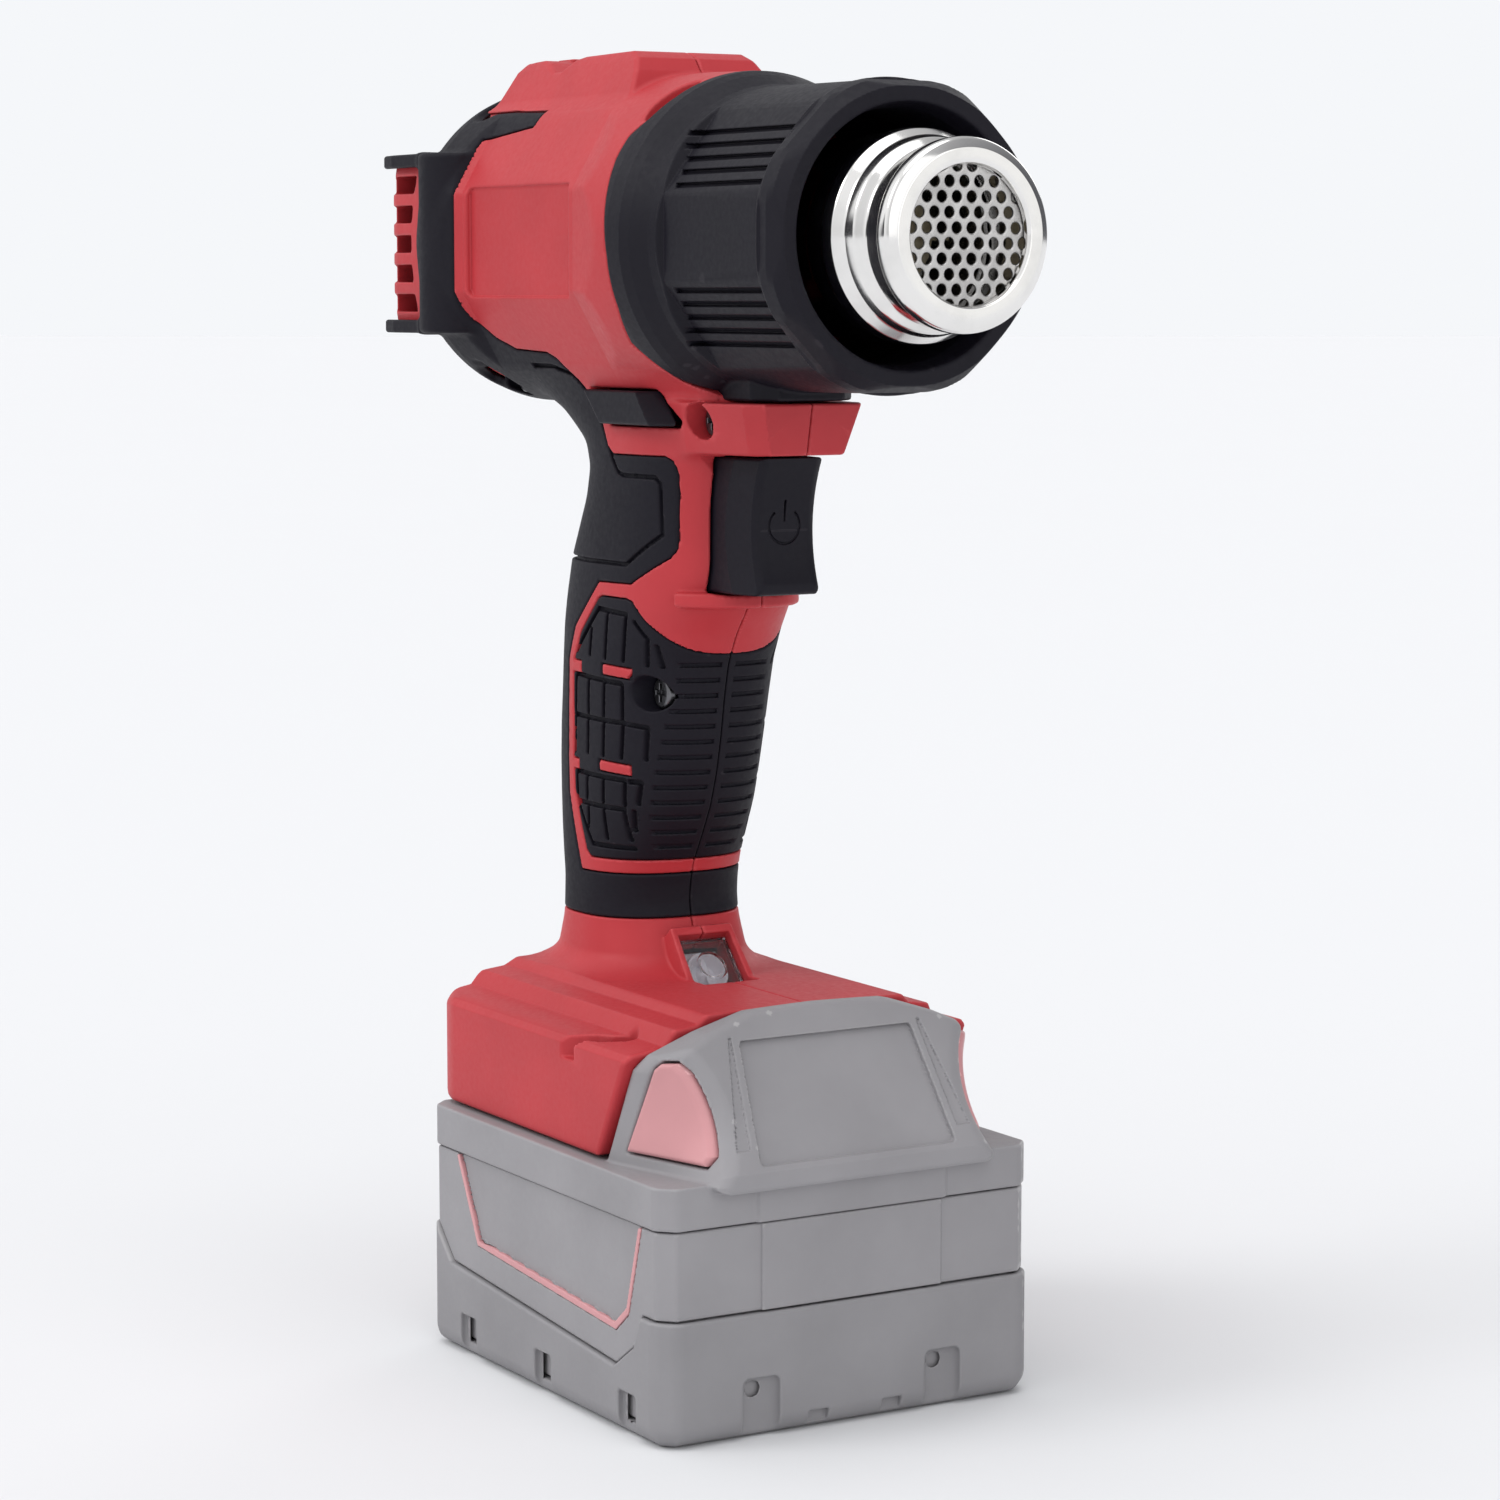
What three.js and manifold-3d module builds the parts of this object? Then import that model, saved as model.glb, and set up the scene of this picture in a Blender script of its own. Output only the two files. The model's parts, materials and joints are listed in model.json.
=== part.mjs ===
// Cordless heat gun with a slide-on battery pack.
// Units are millimetres. +X points out of the nozzle, +Z is up, y = 0 is the plane where the two
// housing halves meet. The origin is the centre of the pack's base, which the tool stands on.
import * as THREE from "three";
import { mergeVertices } from "three/addons/utils/BufferGeometryUtils.js";
import Module from "manifold-3d";

const wasm = await Module();
wasm.setup();

// ---------- driving dimensions ----------
const GAP = 0.3; // clearance between neighbouring pieces
const SPLIT_GAP = 0.1; // half the gap between the housing halves
const SEAM = 0.15; // gap around the edge of the rubber
const SKIN = 1.8; // thickness of the rubber overmould
const WALL = 4.0; // housing wall, overmould included

const AXIS_Z = 218.3; // height of the barrel's axis
const HEAD_R = 31.6;
const REAR_X = -68; // rear face of the barrel
const LIP_X = -85.75; // rearmost edge of the bumper lips
const NOZZLE_TIP_X = 85.75;
const GUARD_FRONT_X = 67;
const GUARD_BORE_R = 22.3;
const NOZZLE_R = 18.9;
const DUCT_R = 26;
const LIP_Z = 16.5; // bumper lips, above and below the barrel axis

const HANDLE_FRONT_X = 12.65; // flat behind the trigger
const TRIGGER_Z = [152.7, 178.3];
const TRIGGER_HALF_WIDTH = 8;

const FOOT_X = -48.75;
const FOOT_Z = 48.9;
const FOOT_HALF_WIDTH = 36.3;

const PACK_X = [-45.05, 49.25];
const PACK_HALF_WIDTH = 39.5;
const PACK_TOP = 48.4;
const PACK_SEAM_Z = 40.1; // between the top case and the bottom case
const BUMPER_Z = 22.7; // top of the pack's bumper tray
const CELL_R = 8.55;
const CELL_LENGTH = 65;
const CELL_PITCH = 17.4;

const FAR = 300; // reach of a cutting solid

// ---------- solids ----------
function solid(geometry) {
  const bare = geometry.index ? geometry.toNonIndexed() : geometry.clone();
  bare.deleteAttribute("normal");
  bare.deleteAttribute("uv");
  const merged = mergeVertices(bare, 1e-4);
  const index = [];
  for (let i = 0; i < merged.index.count; i += 3) {
    const [a, b, c] = [0, 1, 2].map((k) => merged.index.getX(i + k));
    if (a !== b && b !== c && c !== a) index.push(a, b, c);
  }
  const mesh = new wasm.Mesh({
    numProp: 3,
    vertProperties: new Float32Array(merged.attributes.position.array),
    triVerts: new Uint32Array(index),
  });
  return new wasm.Manifold(mesh);
}

function geometryOf(body) {
  const mesh = body.getMesh();
  const geometry = new THREE.BufferGeometry();
  geometry.setAttribute("position", new THREE.BufferAttribute(new Float32Array(mesh.vertProperties), 3));
  geometry.setIndex(new THREE.BufferAttribute(new Uint32Array(mesh.triVerts), 1));
  return geometry;
}

const join = (...bodies) => bodies.reduce((sum, body) => sum.add(body));
const cut = (body, ...tools) => tools.reduce((rest, tool) => rest.subtract(tool), body);
const common = (...bodies) => bodies.reduce((rest, body) => rest.intersect(body));

// Cuts can leave slivers behind; the piece is the largest body.
function main(body) {
  const bodies = body.decompose();
  return bodies.reduce((best, other) => (other.volume() > best.volume() ? other : best));
}

function box([x0, x1], [y0, y1], [z0, z1]) {
  const geometry = new THREE.BoxGeometry(x1 - x0, y1 - y0, z1 - z0);
  geometry.translate((x0 + x1) / 2, (y0 + y1) / 2, (z0 + z1) / 2);
  return solid(geometry);
}

function extruded(outline, depth) {
  const shape = new THREE.Shape(outline.map(([u, v]) => new THREE.Vector2(u, v)));
  return new THREE.ExtrudeGeometry(shape, { depth, bevelEnabled: false });
}

// An anticlockwise outline moved outwards by a distance, with its corners kept sharp.
function grown(outline, by) {
  const count = outline.length;
  const edge = (i) => {
    const [a, b] = [outline[(i + count) % count], outline[(i + 1) % count]];
    const length = Math.hypot(b[0] - a[0], b[1] - a[1]);
    return [(b[0] - a[0]) / length, (b[1] - a[1]) / length];
  };
  return outline.map(([u, v], i) => {
    const [before, after] = [edge(i - 1), edge(i)];
    const turn = 1 + before[0] * after[0] + before[1] * after[1];
    return [u + (by * (before[1] + after[1])) / turn, v - (by * (before[0] + after[0])) / turn];
  });
}

// An outline of [x, z] points, run along Y.
function prismY(outline, [y0, y1]) {
  const geometry = extruded(outline, y1 - y0);
  geometry.rotateX(Math.PI / 2);
  geometry.translate(0, y1, 0);
  return solid(geometry);
}

// An outline of [y, z] points, run along X.
function prismX(outline, [x0, x1]) {
  const geometry = extruded(outline, x1 - x0);
  const turn = new THREE.Matrix4().makeBasis(
    new THREE.Vector3(0, 1, 0),
    new THREE.Vector3(0, 0, 1),
    new THREE.Vector3(1, 0, 0),
  );
  geometry.applyMatrix4(turn);
  geometry.translate(x0, 0, 0);
  return solid(geometry);
}

// An outline of [x, y] points, run along Z.
function prismZ(outline, [z0, z1]) {
  const geometry = extruded(outline, z1 - z0);
  geometry.translate(0, 0, z0);
  return solid(geometry);
}

// A profile of [x, radius] points turned about a line along X at height z.
function turnedX(profile, segments = 28, y = 0, z = AXIS_Z) {
  const points = profile.map(([x, r]) => new THREE.Vector2(r, x));
  const geometry = new THREE.LatheGeometry(points, segments);
  geometry.rotateZ(-Math.PI / 2);
  geometry.translate(0, y, z);
  return outward(solid(geometry), geometry);
}

// A lathe profile may run either way round, so a body that comes out inside-out is turned.
function outward(body, geometry) {
  if (body.volume() > 0) return body;
  const turned = geometry.toNonIndexed();
  const place = turned.attributes.position;
  for (let i = 0; i < place.count; i += 3) {
    for (let k = 0; k < 3; k += 1) {
      const first = place.array[3 * (i + 1) + k];
      place.array[3 * (i + 1) + k] = place.array[3 * (i + 2) + k];
      place.array[3 * (i + 2) + k] = first;
    }
  }
  return solid(turned);
}

function rodX([x0, x1], r, y = 0, z = AXIS_Z, segments = 20) {
  return turnedX([[x0, 0], [x0, r], [x1, r], [x1, 0]], segments, y, z);
}

function rodY([y0, y1], r, x, z, segments = 16) {
  const geometry = new THREE.CylinderGeometry(r, r, y1 - y0, segments);
  geometry.translate(x, (y0 + y1) / 2, z);
  return solid(geometry);
}

// Rings of points joined in order and capped at both ends.
function loft(rings) {
  const count = rings[0].length;
  const points = rings.flat();
  const index = [];
  for (let r = 0; r + 1 < rings.length; r += 1) {
    for (let i = 0; i < count; i += 1) {
      const a = r * count + i;
      const b = r * count + ((i + 1) % count);
      index.push(a, b, b + count, a, b + count, a + count);
    }
  }
  const last = (rings.length - 1) * count;
  for (let i = 1; i + 1 < count; i += 1) {
    index.push(0, i + 1, i, last, last + i, last + i + 1);
  }
  const geometry = new THREE.BufferGeometry();
  geometry.setAttribute("position", new THREE.Float32BufferAttribute(points.flat(), 3));
  geometry.setIndex(index);
  return outward(solid(geometry), geometry);
}

function coil(radius, wire, turns, [x0, x1], z, stepsPerTurn, sides) {
  class Helix extends THREE.Curve {
    getPoint(t) {
      const angle = 2 * Math.PI * turns * t;
      const x = x0 + (x1 - x0) * t;
      return new THREE.Vector3(x, radius * Math.sin(angle), z + radius * Math.cos(angle));
    }
  }
  const section = new THREE.Shape(
    Array.from({ length: sides }, (_, i) => {
      const angle = (2 * Math.PI * i) / sides;
      return new THREE.Vector2(wire * Math.cos(angle), wire * Math.sin(angle));
    }),
  );
  const steps = Math.round(turns * stepsPerTurn);
  const geometry = new THREE.ExtrudeGeometry(section, { steps, extrudePath: new Helix() });
  return outward(solid(geometry), geometry);
}

const left = box([-FAR, FAR], [SPLIT_GAP, FAR], [-FAR, 2 * FAR]);
const right = box([-FAR, FAR], [-FAR, -SPLIT_GAP], [-FAR, 2 * FAR]);

// ---------- the outer form ----------
// Barrel radius along X. It flares where the nozzle guard starts and narrows towards its front.
const BARREL_SIDES = 24;
const HEAD_PROFILE = [
  [REAR_X, 30], [REAR_X + 2, 31.6], [-46, 31.8], [2, HEAD_R], [22.6, 31], [26.4, 28.4], [62, 27.8],
  [GUARD_FRONT_X, 26.6],
];

function head(inset) {
  const profile = HEAD_PROFILE.map(([x, r]) => [x, r - inset]);
  profile[0][0] += inset;
  profile[1][0] += inset;
  const ends = [[profile[0][0], 0], ...profile, [GUARD_FRONT_X, 0]];
  return turnedX(ends, BARREL_SIDES);
}

// Handle sections from the foot up to the barrel: height, rear x, front x, half-width.
const HANDLE_SECTIONS = [
  [70, -50, 6, 21], [77, -47, -4.6, 18], [84, -44.5, -8.8, 16.8], [92, -42.3, -11, 16.6],
  [104, -44.5, -6.2, 16.8], [120, -45.9, 0.2, 17.2], [140, -43.4, 4.8, 18],
  [151, -43.2, HANDLE_FRONT_X + 1.2, 17.8], [158, -41, HANDLE_FRONT_X + 1.2, 17.5],
  [168, -35, HANDLE_FRONT_X + 1.2, 17.3], [178, -34, HANDLE_FRONT_X + 1.2, 17.3],
  [184, -42, 21, 17.5], [190, -52, 24, 18], [200, -56, 26, 18],
];
const HANDLE_SIDES = 14;
const HANDLE_SQUARENESS = 2.4;

function rounded(cosine) {
  return Math.sign(cosine) * Math.abs(cosine) ** (2 / HANDLE_SQUARENESS);
}

function handle(inset) {
  const rings = HANDLE_SECTIONS.map(([z, rear, front, halfWidth]) => {
    const middle = (rear + front) / 2;
    const reach = (front - rear) / 2 - inset;
    return Array.from({ length: HANDLE_SIDES }, (_, i) => {
      const angle = (2 * Math.PI * i) / HANDLE_SIDES;
      return [middle + reach * rounded(Math.cos(angle)), (halfWidth - inset) * rounded(Math.sin(angle)), z];
    });
  });
  const triggerFlat = box([HANDLE_FRONT_X - inset, FAR], [-FAR, FAR], [150.5, 179]);
  return cut(loft(rings), triggerFlat);
}

// The foot: a side outline and a stepped front outline, both the full length of the block.
function foot(inset) {
  const side = prismY(
    [
      [FOOT_X + inset, FOOT_Z], [19.5 - inset, FOOT_Z], [30.5 - inset, 69.5 - inset],
      [32.6 - inset, 77 - inset], [-44, 77 - inset], [FOOT_X + inset, 70 - inset],
    ],
    [-FAR, FAR],
  );
  const half = FOOT_HALF_WIDTH - inset;
  const steps = [
    [half, FOOT_Z], [half, 67.6 - inset], [half - 1.6, 69.2 - inset], [28.4, 71.6 - inset],
    [25.5, 74.2 - inset], [19, 75.4 - inset], [13, 77 - inset],
  ];
  const mirrored = steps.map(([y, z]) => [-y, z]).reverse();
  return common(side, prismX([...steps, ...mirrored], [-FAR, FAR]));
}

// The nose over the trigger: a blunt V in plan that narrows downwards.
function chin(inset) {
  const plan = [
    [34.5 - inset, -9.5 + inset], [34.5 - inset, 9.5 - inset], [31 - inset, 11.5 - inset],
    [14, 16 - inset], [0, 16 - inset], [0, -16 + inset], [14, -16 + inset], [31 - inset, -11.5 + inset],
  ];
  const front = [
    [-16 + inset, 190], [-14 + inset, 181.5], [-7.3 + inset, 178.6 + inset],
    [7.3 - inset, 178.6 + inset], [14 - inset, 181.5], [16 - inset, 190],
  ];
  return common(prismZ(plan, [178.6 + inset, 188.3 - inset]), prismX(front, [-FAR, FAR]));
}

// Two low humps on top of the barrel, which end behind the guard.
function topHumps(gap = 0) {
  const side = [
    [-72, 243], [-68, 246.5], [-65, 252.2], [-61, 254], [-47, 254.5], [-40.5, 252.6], [-37, 252.6],
    [-30, 254], [-10, 254.2], [-6.5, 250], [-4, 243],
  ];
  const front = [[17, 243], [10.5, 254.6], [-10.5, 254.6], [-17, 243]];
  side.reverse();
  const humps = common(prismY(grown(side, gap), [-FAR, FAR]), prismX(grown(front, gap), [-FAR, FAR]));
  return cut(humps, rodX([-60, 20], HEAD_R - 1, 0, AXIS_Z, BARREL_SIDES));
}

function body(inset) {
  return join(head(inset), handle(inset), foot(inset), chin(inset));
}

// ---------- where the red plastic, the rubber and the guard meet, seen from the side ----------
const GUARD_EDGE = [
  [17.5, 256], [17.5, 249.5], [16.5, 244.5], [15.4, 240.6], [12.6, 237.5], [13, 233], [15.2, 222],
  [16.2, 215], [15.8, 205.9], [12.9, 199], [17, 192.5], [22, 188.5],
];
const REAR_EDGE = [
  [REAR_X - 4, 244], [-48, 244], [-32.8, 243.4], [-34.5, 240.2], [-52.8, 238.4], [-52.8, 203.9],
  [-46.75, 199.6], [-40.75, 197.4], [-27, 197.2], [-21, 192], [-15.2, 183.5], [-13, 178.2],
  [7.4, 178], [8, 176], [6.8, 161.2], [-6.1, 152.1], [-16, 152], [-24.6, 144], [-27.6, 138],
  [-28.6, 111], [-23.5, 97], [20, 97], [20, 87],
];
const GRIP_EDGE = [
  [-7, 149.5], [-15, 149.8], [-22.4, 142.6], [-25.2, 137], [-26.2, 111.6], [-21.2, 99.2],
  [20, 99.2], [20, 138.8], [4, 138.6], [0.4, 141.6],
];

function guardZone(gap) {
  const outline = [...GUARD_EDGE, [FAR, 188.5], [FAR, 256]];
  return prismY(grown(outline, -gap), [-FAR, FAR]);
}

function rearZone(gap) {
  const outline = [...REAR_EDGE, [-FAR, 87], [-FAR, 244]].reverse();
  return prismY(grown(outline, -gap), [-FAR, FAR]);
}

function gripZone(gap) {
  return prismY(grown(GRIP_EDGE, -gap), [-FAR, FAR]);
}

// ---------- fasteners and openings shared by several pieces ----------
const SCREW_SHANK_R = 1.4;
const SCREW_HEAD_R = 3.0;
const SCREW_HEAD_HEIGHT = 2.1;
const SCREW_END = 9.3; // depth that a screw reaches in the half it holds
// side is -1 for a screw that goes in from the right and 1 from the left. seat is the distance of
// the surface under its head from the parting plane.
const SCREWS = [
  { name: "screw_chin", x: 17.5, z: 184.9, seat: 9.2, side: -1 },
  { name: "screw_grip", x: -5, z: 132.2, seat: 8.4, side: -1 },
  { name: "screw_neck", x: -30, z: 81, seat: 9.5, side: 1 },
  { name: "screw_rear_low", x: -60, z: 190, seat: 8, side: -1 },
  { name: "screw_rear_top", x: -60, z: 246, seat: 8.5, side: 1 },
  { name: "screw_foot", x: -40, z: 66.4, seat: 29, side: 1 },
];

// A rod across the parting plane, given by its reach towards the screw's head and away from it.
function screwRod({ x, z, side }, [out, away], r, segments) {
  const ends = side > 0 ? [-away, out] : [-out, away];
  return rodY(ends, r, x, z, segments);
}

function screwHoles() {
  const holes = SCREWS.map((place) =>
    join(
      screwRod(place, [FAR, -place.seat], SCREW_HEAD_R + 2 * GAP, 12),
      screwRod(place, [place.seat + 1, SCREW_END + GAP], SCREW_SHANK_R + 0.4, 8),
    ),
  );
  return join(...holes);
}

function screwBosses() {
  return join(...SCREWS.map(({ x, z }) => rodY([-20, 20], SCREW_HEAD_R + 2, x, z, 12)));
}

function screw(place) {
  const under = place.seat + GAP;
  const head = screwRod(place, [under + SCREW_HEAD_HEIGHT, -under], SCREW_HEAD_R, 12);
  const shank = screwRod(place, [under + 1, SCREW_END], SCREW_SHANK_R, 6);
  const socket = screwRod(place, [FAR, -under - 0.7], 1.5, 6);
  return cut(join(head, shank), socket);
}

const LOCK_OUTLINE = [[-10.8, 183.7], [11.4, 183.7], [12.4, 184.6], [6, 190.2], [-17.4, 190.2]];
const LED_WINDOW = [[-1.7, 73.5], [1.9, 73.5], [-6.9, 84.5], [-10.5, 84.5]];

function lockHole() {
  return prismY(grown(LOCK_OUTLINE, 0.4), [-FAR, FAR]);
}

function triggerHole() {
  const half = TRIGGER_HALF_WIDTH + 0.4;
  return box([HANDLE_FRONT_X - 8, FAR], [-half, half], [TRIGGER_Z[0] - 0.4, TRIGGER_Z[1] + 0.2]);
}

function ledHole() {
  return prismY(grown(LED_WINDOW, 0.3), [-5.9, 5.9]);
}

function ledBoardPocket() {
  return prismY([[-16, 82.5], [-13.8, 84.4], [-8, 82.4], [-6, 75.2], [-8.2, 73.4]].reverse(), [-5.9, 5.9]);
}

// The bay under the foot that the pack's rails slide into from the front.
function packBay() {
  const rails = [
    [-32, FOOT_Z - 5], [-32, 50], [-26.6, 50], [-26.6, 55], [-32, 55], [-32, 62.5],
    [32, 62.5], [32, 55], [26.6, 55], [26.6, 50], [32, 50], [32, FOOT_Z - 5],
  ];
  return prismX(rails.reverse(), [-44.5, FAR]);
}

function intakeOutline(inset, [x0, x1]) {
  const half = LIP_Z - 0.8 - inset;
  const level = box([x0, x1], [-FAR, FAR], [AXIS_Z - half, AXIS_Z + half]);
  return common(rodX([x0, x1], 30.5 - inset, 0, AXIS_Z, 40), level);
}

// ---------- housing ----------
function housing() {
  const humps = topHumps();
  const ledFrame = prismY([[-1.7, 72.4], [3.2, 72.4], [-6.2, 86], [-11, 86]], [-7.2, 7.2]);
  const deck = common(foot(0), box([-44.4, 28], [-FAR, FAR], [62.5, 66.5]));
  const cavity = join(head(WALL), cut(handle(WALL), box([-FAR, FAR], [-FAR, FAR], [0, 66.5])), chinCavity());
  const shell = join(cut(join(body(0), humps), cavity), ledFrame, deck);
  const bosses = common(screwBosses(), body(1));
  const skinBed = cut(join(rearZone(0), gripZone(0)), body(SKIN + GAP), humps);
  const guardBed = guardZone(0);
  const footVoid = common(foot(3.5), box([-FAR, FAR], [-FAR, FAR], [62.5, FAR]));
  return cut(
    join(cut(shell, cut(footVoid, deck)), bosses),
    skinBed, guardBed, screwHoles(), lockHole(), triggerHole(), ledHole(), ledBoardPocket(), packBay(),
    intakeOutline(-GAP, [REAR_X - 6, REAR_X + 6]),
    barrelBay(), guardBlock(GAP),
  );
}

function chinCavity() {
  return common(chin(3), box([0, 12], [-FAR, FAR], [0, FAR]));
}

// Room for the fan duct and the heater inside the barrel.
function barrelBay() {
  return rodX([REAR_X + WALL, 40], DUCT_R + 0.6, 0, AXIS_Z, BARREL_SIDES);
}

function bumperLips() {
  const edge = [[LIP_X, 27], [-83, 30], [-76, 31], [REAR_X + 1, 31.2]];
  const mirrored = edge.map(([x, y]) => [x, -y]).reverse();
  const lip = (z) => prismZ([...edge, ...mirrored].reverse(), [z - 1.25, z + 1.25]);
  const web = cut(
    rodX([REAR_X - 3, REAR_X + SKIN], 31.4, 0, AXIS_Z, BARREL_SIDES),
    intakeOutline(-GAP, [-FAR, FAR]),
    box([-FAR, FAR], [-FAR, FAR], [AXIS_Z + LIP_Z + 1.2, FAR]),
    box([-FAR, FAR], [-FAR, FAR], [0, AXIS_Z - LIP_Z - 1.2]),
  );
  return join(lip(AXIS_Z + LIP_Z), lip(AXIS_Z - LIP_Z), web);
}

// Rubber skin: the rear bumper, the palm pad, the back of the handle and the band at its base.
function rearOvermould() {
  const skin = common(cut(body(0), body(SKIN)), rearZone(SEAM));
  const front = box([REAR_X - 1, FAR], [-FAR, FAR], [0, FAR]);
  const padLine = [
    [-20, 156.4], [-6.2, 156.4], [3.4, 164.6], [3.4, 175.4], [-8, 175.4], [-8, 174.4], [2.4, 174.4],
    [2.4, 165], [-6.6, 157.4], [-20, 157.4],
  ];
  const groove = prismY(padLine, [-FAR, -16.2]);
  const grooves = join(groove, groove.mirror([0, 1, 0]));
  return cut(
    join(common(skin, front), bumperLips()),
    topHumps(GAP), screwHoles(), lockHole(), intakeOutline(-GAP, [-FAR, REAR_X + 6]), cut(grooves, body(1)),
  );
}

// Rubber skin on the sides and front of the grip, with its ribs and side cells.
function gripOvermould() {
  const skin = common(cut(body(0), body(SKIN)), gripZone(SEAM));
  const ribs = Array.from({ length: 7 }, (_, i) => {
    const z = 104 + 5 * i;
    return cut(box([-12, FAR], [-10, 10], [z, z + 0.8]), handle(0.7));
  });
  const cells = [];
  for (const x of [-19, -13.5]) {
    for (const [z0, z1] of [[103, 114.5], [119.5, 133.5], [138, 147]]) {
      cells.push(cut(box([x, x + 0.9], [-FAR, FAR], [z0, z1]), handle(0.7)));
    }
  }
  return cut(skin, screwHoles(), ...ribs, ...cells);
}

// ---------- nozzle end ----------
// The guard's foot, which sits on top of the chin.
function guardBlock(gap) {
  const plan = [[10, -11], [30, -11], [34, -7], [34, 7], [30, 11], [10, 11]];
  return prismZ(grown(plan, gap), [188.6 - gap, 194]);
}

// Angles from the top of the fine grooves on each side of the guard.
const GROOVE_ANGLES = [44, 51.5, 58.5, 64.5, 70.5, 109.5, 115.5, 121.5, 128.5, 136];

function nozzleGuard() {
  const tube = common(head(0), guardZone(GAP));
  const boreProfile = [
    [-80, 0], [-80, 27.2], [19, 27.2], [23, 25], [44, 25], [47, GUARD_BORE_R], [90, GUARD_BORE_R],
    [90, 0],
  ];
  const bore = turnedX(boreProfile, BARREL_SIDES);
  const block = cut(guardBlock(0), rodX([-FAR, FAR], 26));
  const grooves = [];
  for (const angle of GROOVE_ANGLES) {
    for (const side of [-1, 1]) {
      const slot = box([29, 60], [-0.45, 0.45], [26.9, 40]);
      grooves.push(slot.rotate([-side * -angle, 0, 0]).translate([0, 0, AXIS_Z]));
    }
  }
  const flats = [];
  for (let i = 0; i < 8; i += 1) {
    const facet = prismY([[48, 30], [62, 26.1], [80, 25.3], [80, 40], [48, 40]], [-30, 30]);
    flats.push(facet.rotate([22.5 + 45 * i, 0, 0]).translate([0, 0, AXIS_Z]));
  }
  return cut(join(tube, block), bore, ...grooves, ...flats);
}

function nozzle() {
  const outer = [
    [50, 18.3], [66.5, 18.3], [67.6, NOZZLE_R], [71, NOZZLE_R], [73, 17.6], [75, 17.2], [76.4, 15.6],
    [81, 15.4], [82.4, 16.2], [83.4, 16.6], [84.9, 16.4], [NOZZLE_TIP_X, 14.9],
  ];
  const inner = [
    [NOZZLE_TIP_X, 12.2], [84.4, 12], [84.2, 14.2], [75.4, 14.2], [73.4, 16.2], [67.5, 17.3], [50, 17.3],
  ];
  const profile = [...outer, ...inner, outer[0]];
  return turnedX(profile, 20);
}

function outletScreen() {
  const disc = rodX([83, 83.8], 13.9, 0, AXIS_Z, 24);
  const pitch = 3.07;
  const rows = [4, 5, 6, 7, 6, 7, 6, 5];
  const holes = [];
  rows.forEach((count, row) => {
    const z = AXIS_Z + (row - 3.5) * pitch * 0.87;
    for (let i = 0; i < count; i += 1) {
      holes.push(rodX([82, 85], 0.95, (i - (count - 1) / 2) * pitch, z, 4));
    }
  });
  return cut(disc, join(...holes));
}

function heaterSleeve() {
  return turnedX([[4, 17], [66, 17], [66, 16.2], [4, 16.2], [4, 17]], 24);
}

function heaterFormer() {
  const blade = box([8, 60], [-0.5, 0.5], [AXIS_Z - 12.6, AXIS_Z + 12.6]);
  const across = box([8, 60], [-12.6, 12.6], [AXIS_Z - 0.5, AXIS_Z + 0.5]);
  return join(blade, across, rodX([58, 60], 9, 0, AXIS_Z, 16));
}

const heatingCoil = () => coil(14.2, 0.6, 6, [13, 55], AXIS_Z, 12, 4);

function thermalCutout() {
  return join(rodX([-2, 3], 4, 0, AXIS_Z + 8, 12), box([3, 7], [-0.4, 0.4], [AXIS_Z + 5, AXIS_Z + 6]));
}

// ---------- air mover ----------
const MOTOR_R = 13.8;

function fanDuct() {
  const wall = turnedX([
    [-63, DUCT_R], [-22, DUCT_R], [-6, 19.2], [2, 19.2], [2, 17.4], [-6.6, 17.4], [-22.6, DUCT_R - 1.6],
    [-63, DUCT_R - 1.6], [-63, DUCT_R],
  ], 20);
  const ring = turnedX([[-44, 16], [-32, 16], [-32, MOTOR_R + GAP], [-44, MOTOR_R + GAP], [-44, 16]], 20);
  const struts = [0, 90, 180, 270].map((angle) =>
    box([-44, -32], [-1, 1], [15.2, DUCT_R - 1]).rotate([angle + 45, 0, 0]).translate([0, 0, AXIS_Z]),
  );
  return join(wall, ring, ...struts);
}

function fanMotor() {
  const profile = [
    [-49, 0], [-49, 6], [-48, MOTOR_R - 1], [-47, MOTOR_R], [-20, MOTOR_R], [-19, MOTOR_R - 1], [-19, 0],
  ];
  const can = turnedX(profile, 20);
  const tabs = box([-19.5, -16], [-5, 5], [AXIS_Z - 1, AXIS_Z + 1]);
  return cut(join(can, tabs), rodX([-60, -40], 1.4, 0, AXIS_Z, 10));
}

const motorShaft = () => rodX([-62, -41], 1.1, 0, AXIS_Z, 10);

function impeller() {
  const dome = turnedX([[-62, 0], [-62, 5], [-60, 8], [-51, 8.4], [-51, 0]], 20);
  const hub = cut(dome, rodX([-70, -40], 1.3, 0, AXIS_Z, 10));
  const blades = Array.from({ length: 9 }, (_, i) =>
    box([-4.5, 4.5], [-0.6, 0.6], [7.6, DUCT_R - 2.8])
      .rotate([0, 0, 35])
      .translate([-56, 0, 0])
      .rotate([40 * i, 0, 0])
      .translate([0, 0, AXIS_Z]),
  );
  return join(hub, ...blades);
}

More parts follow.
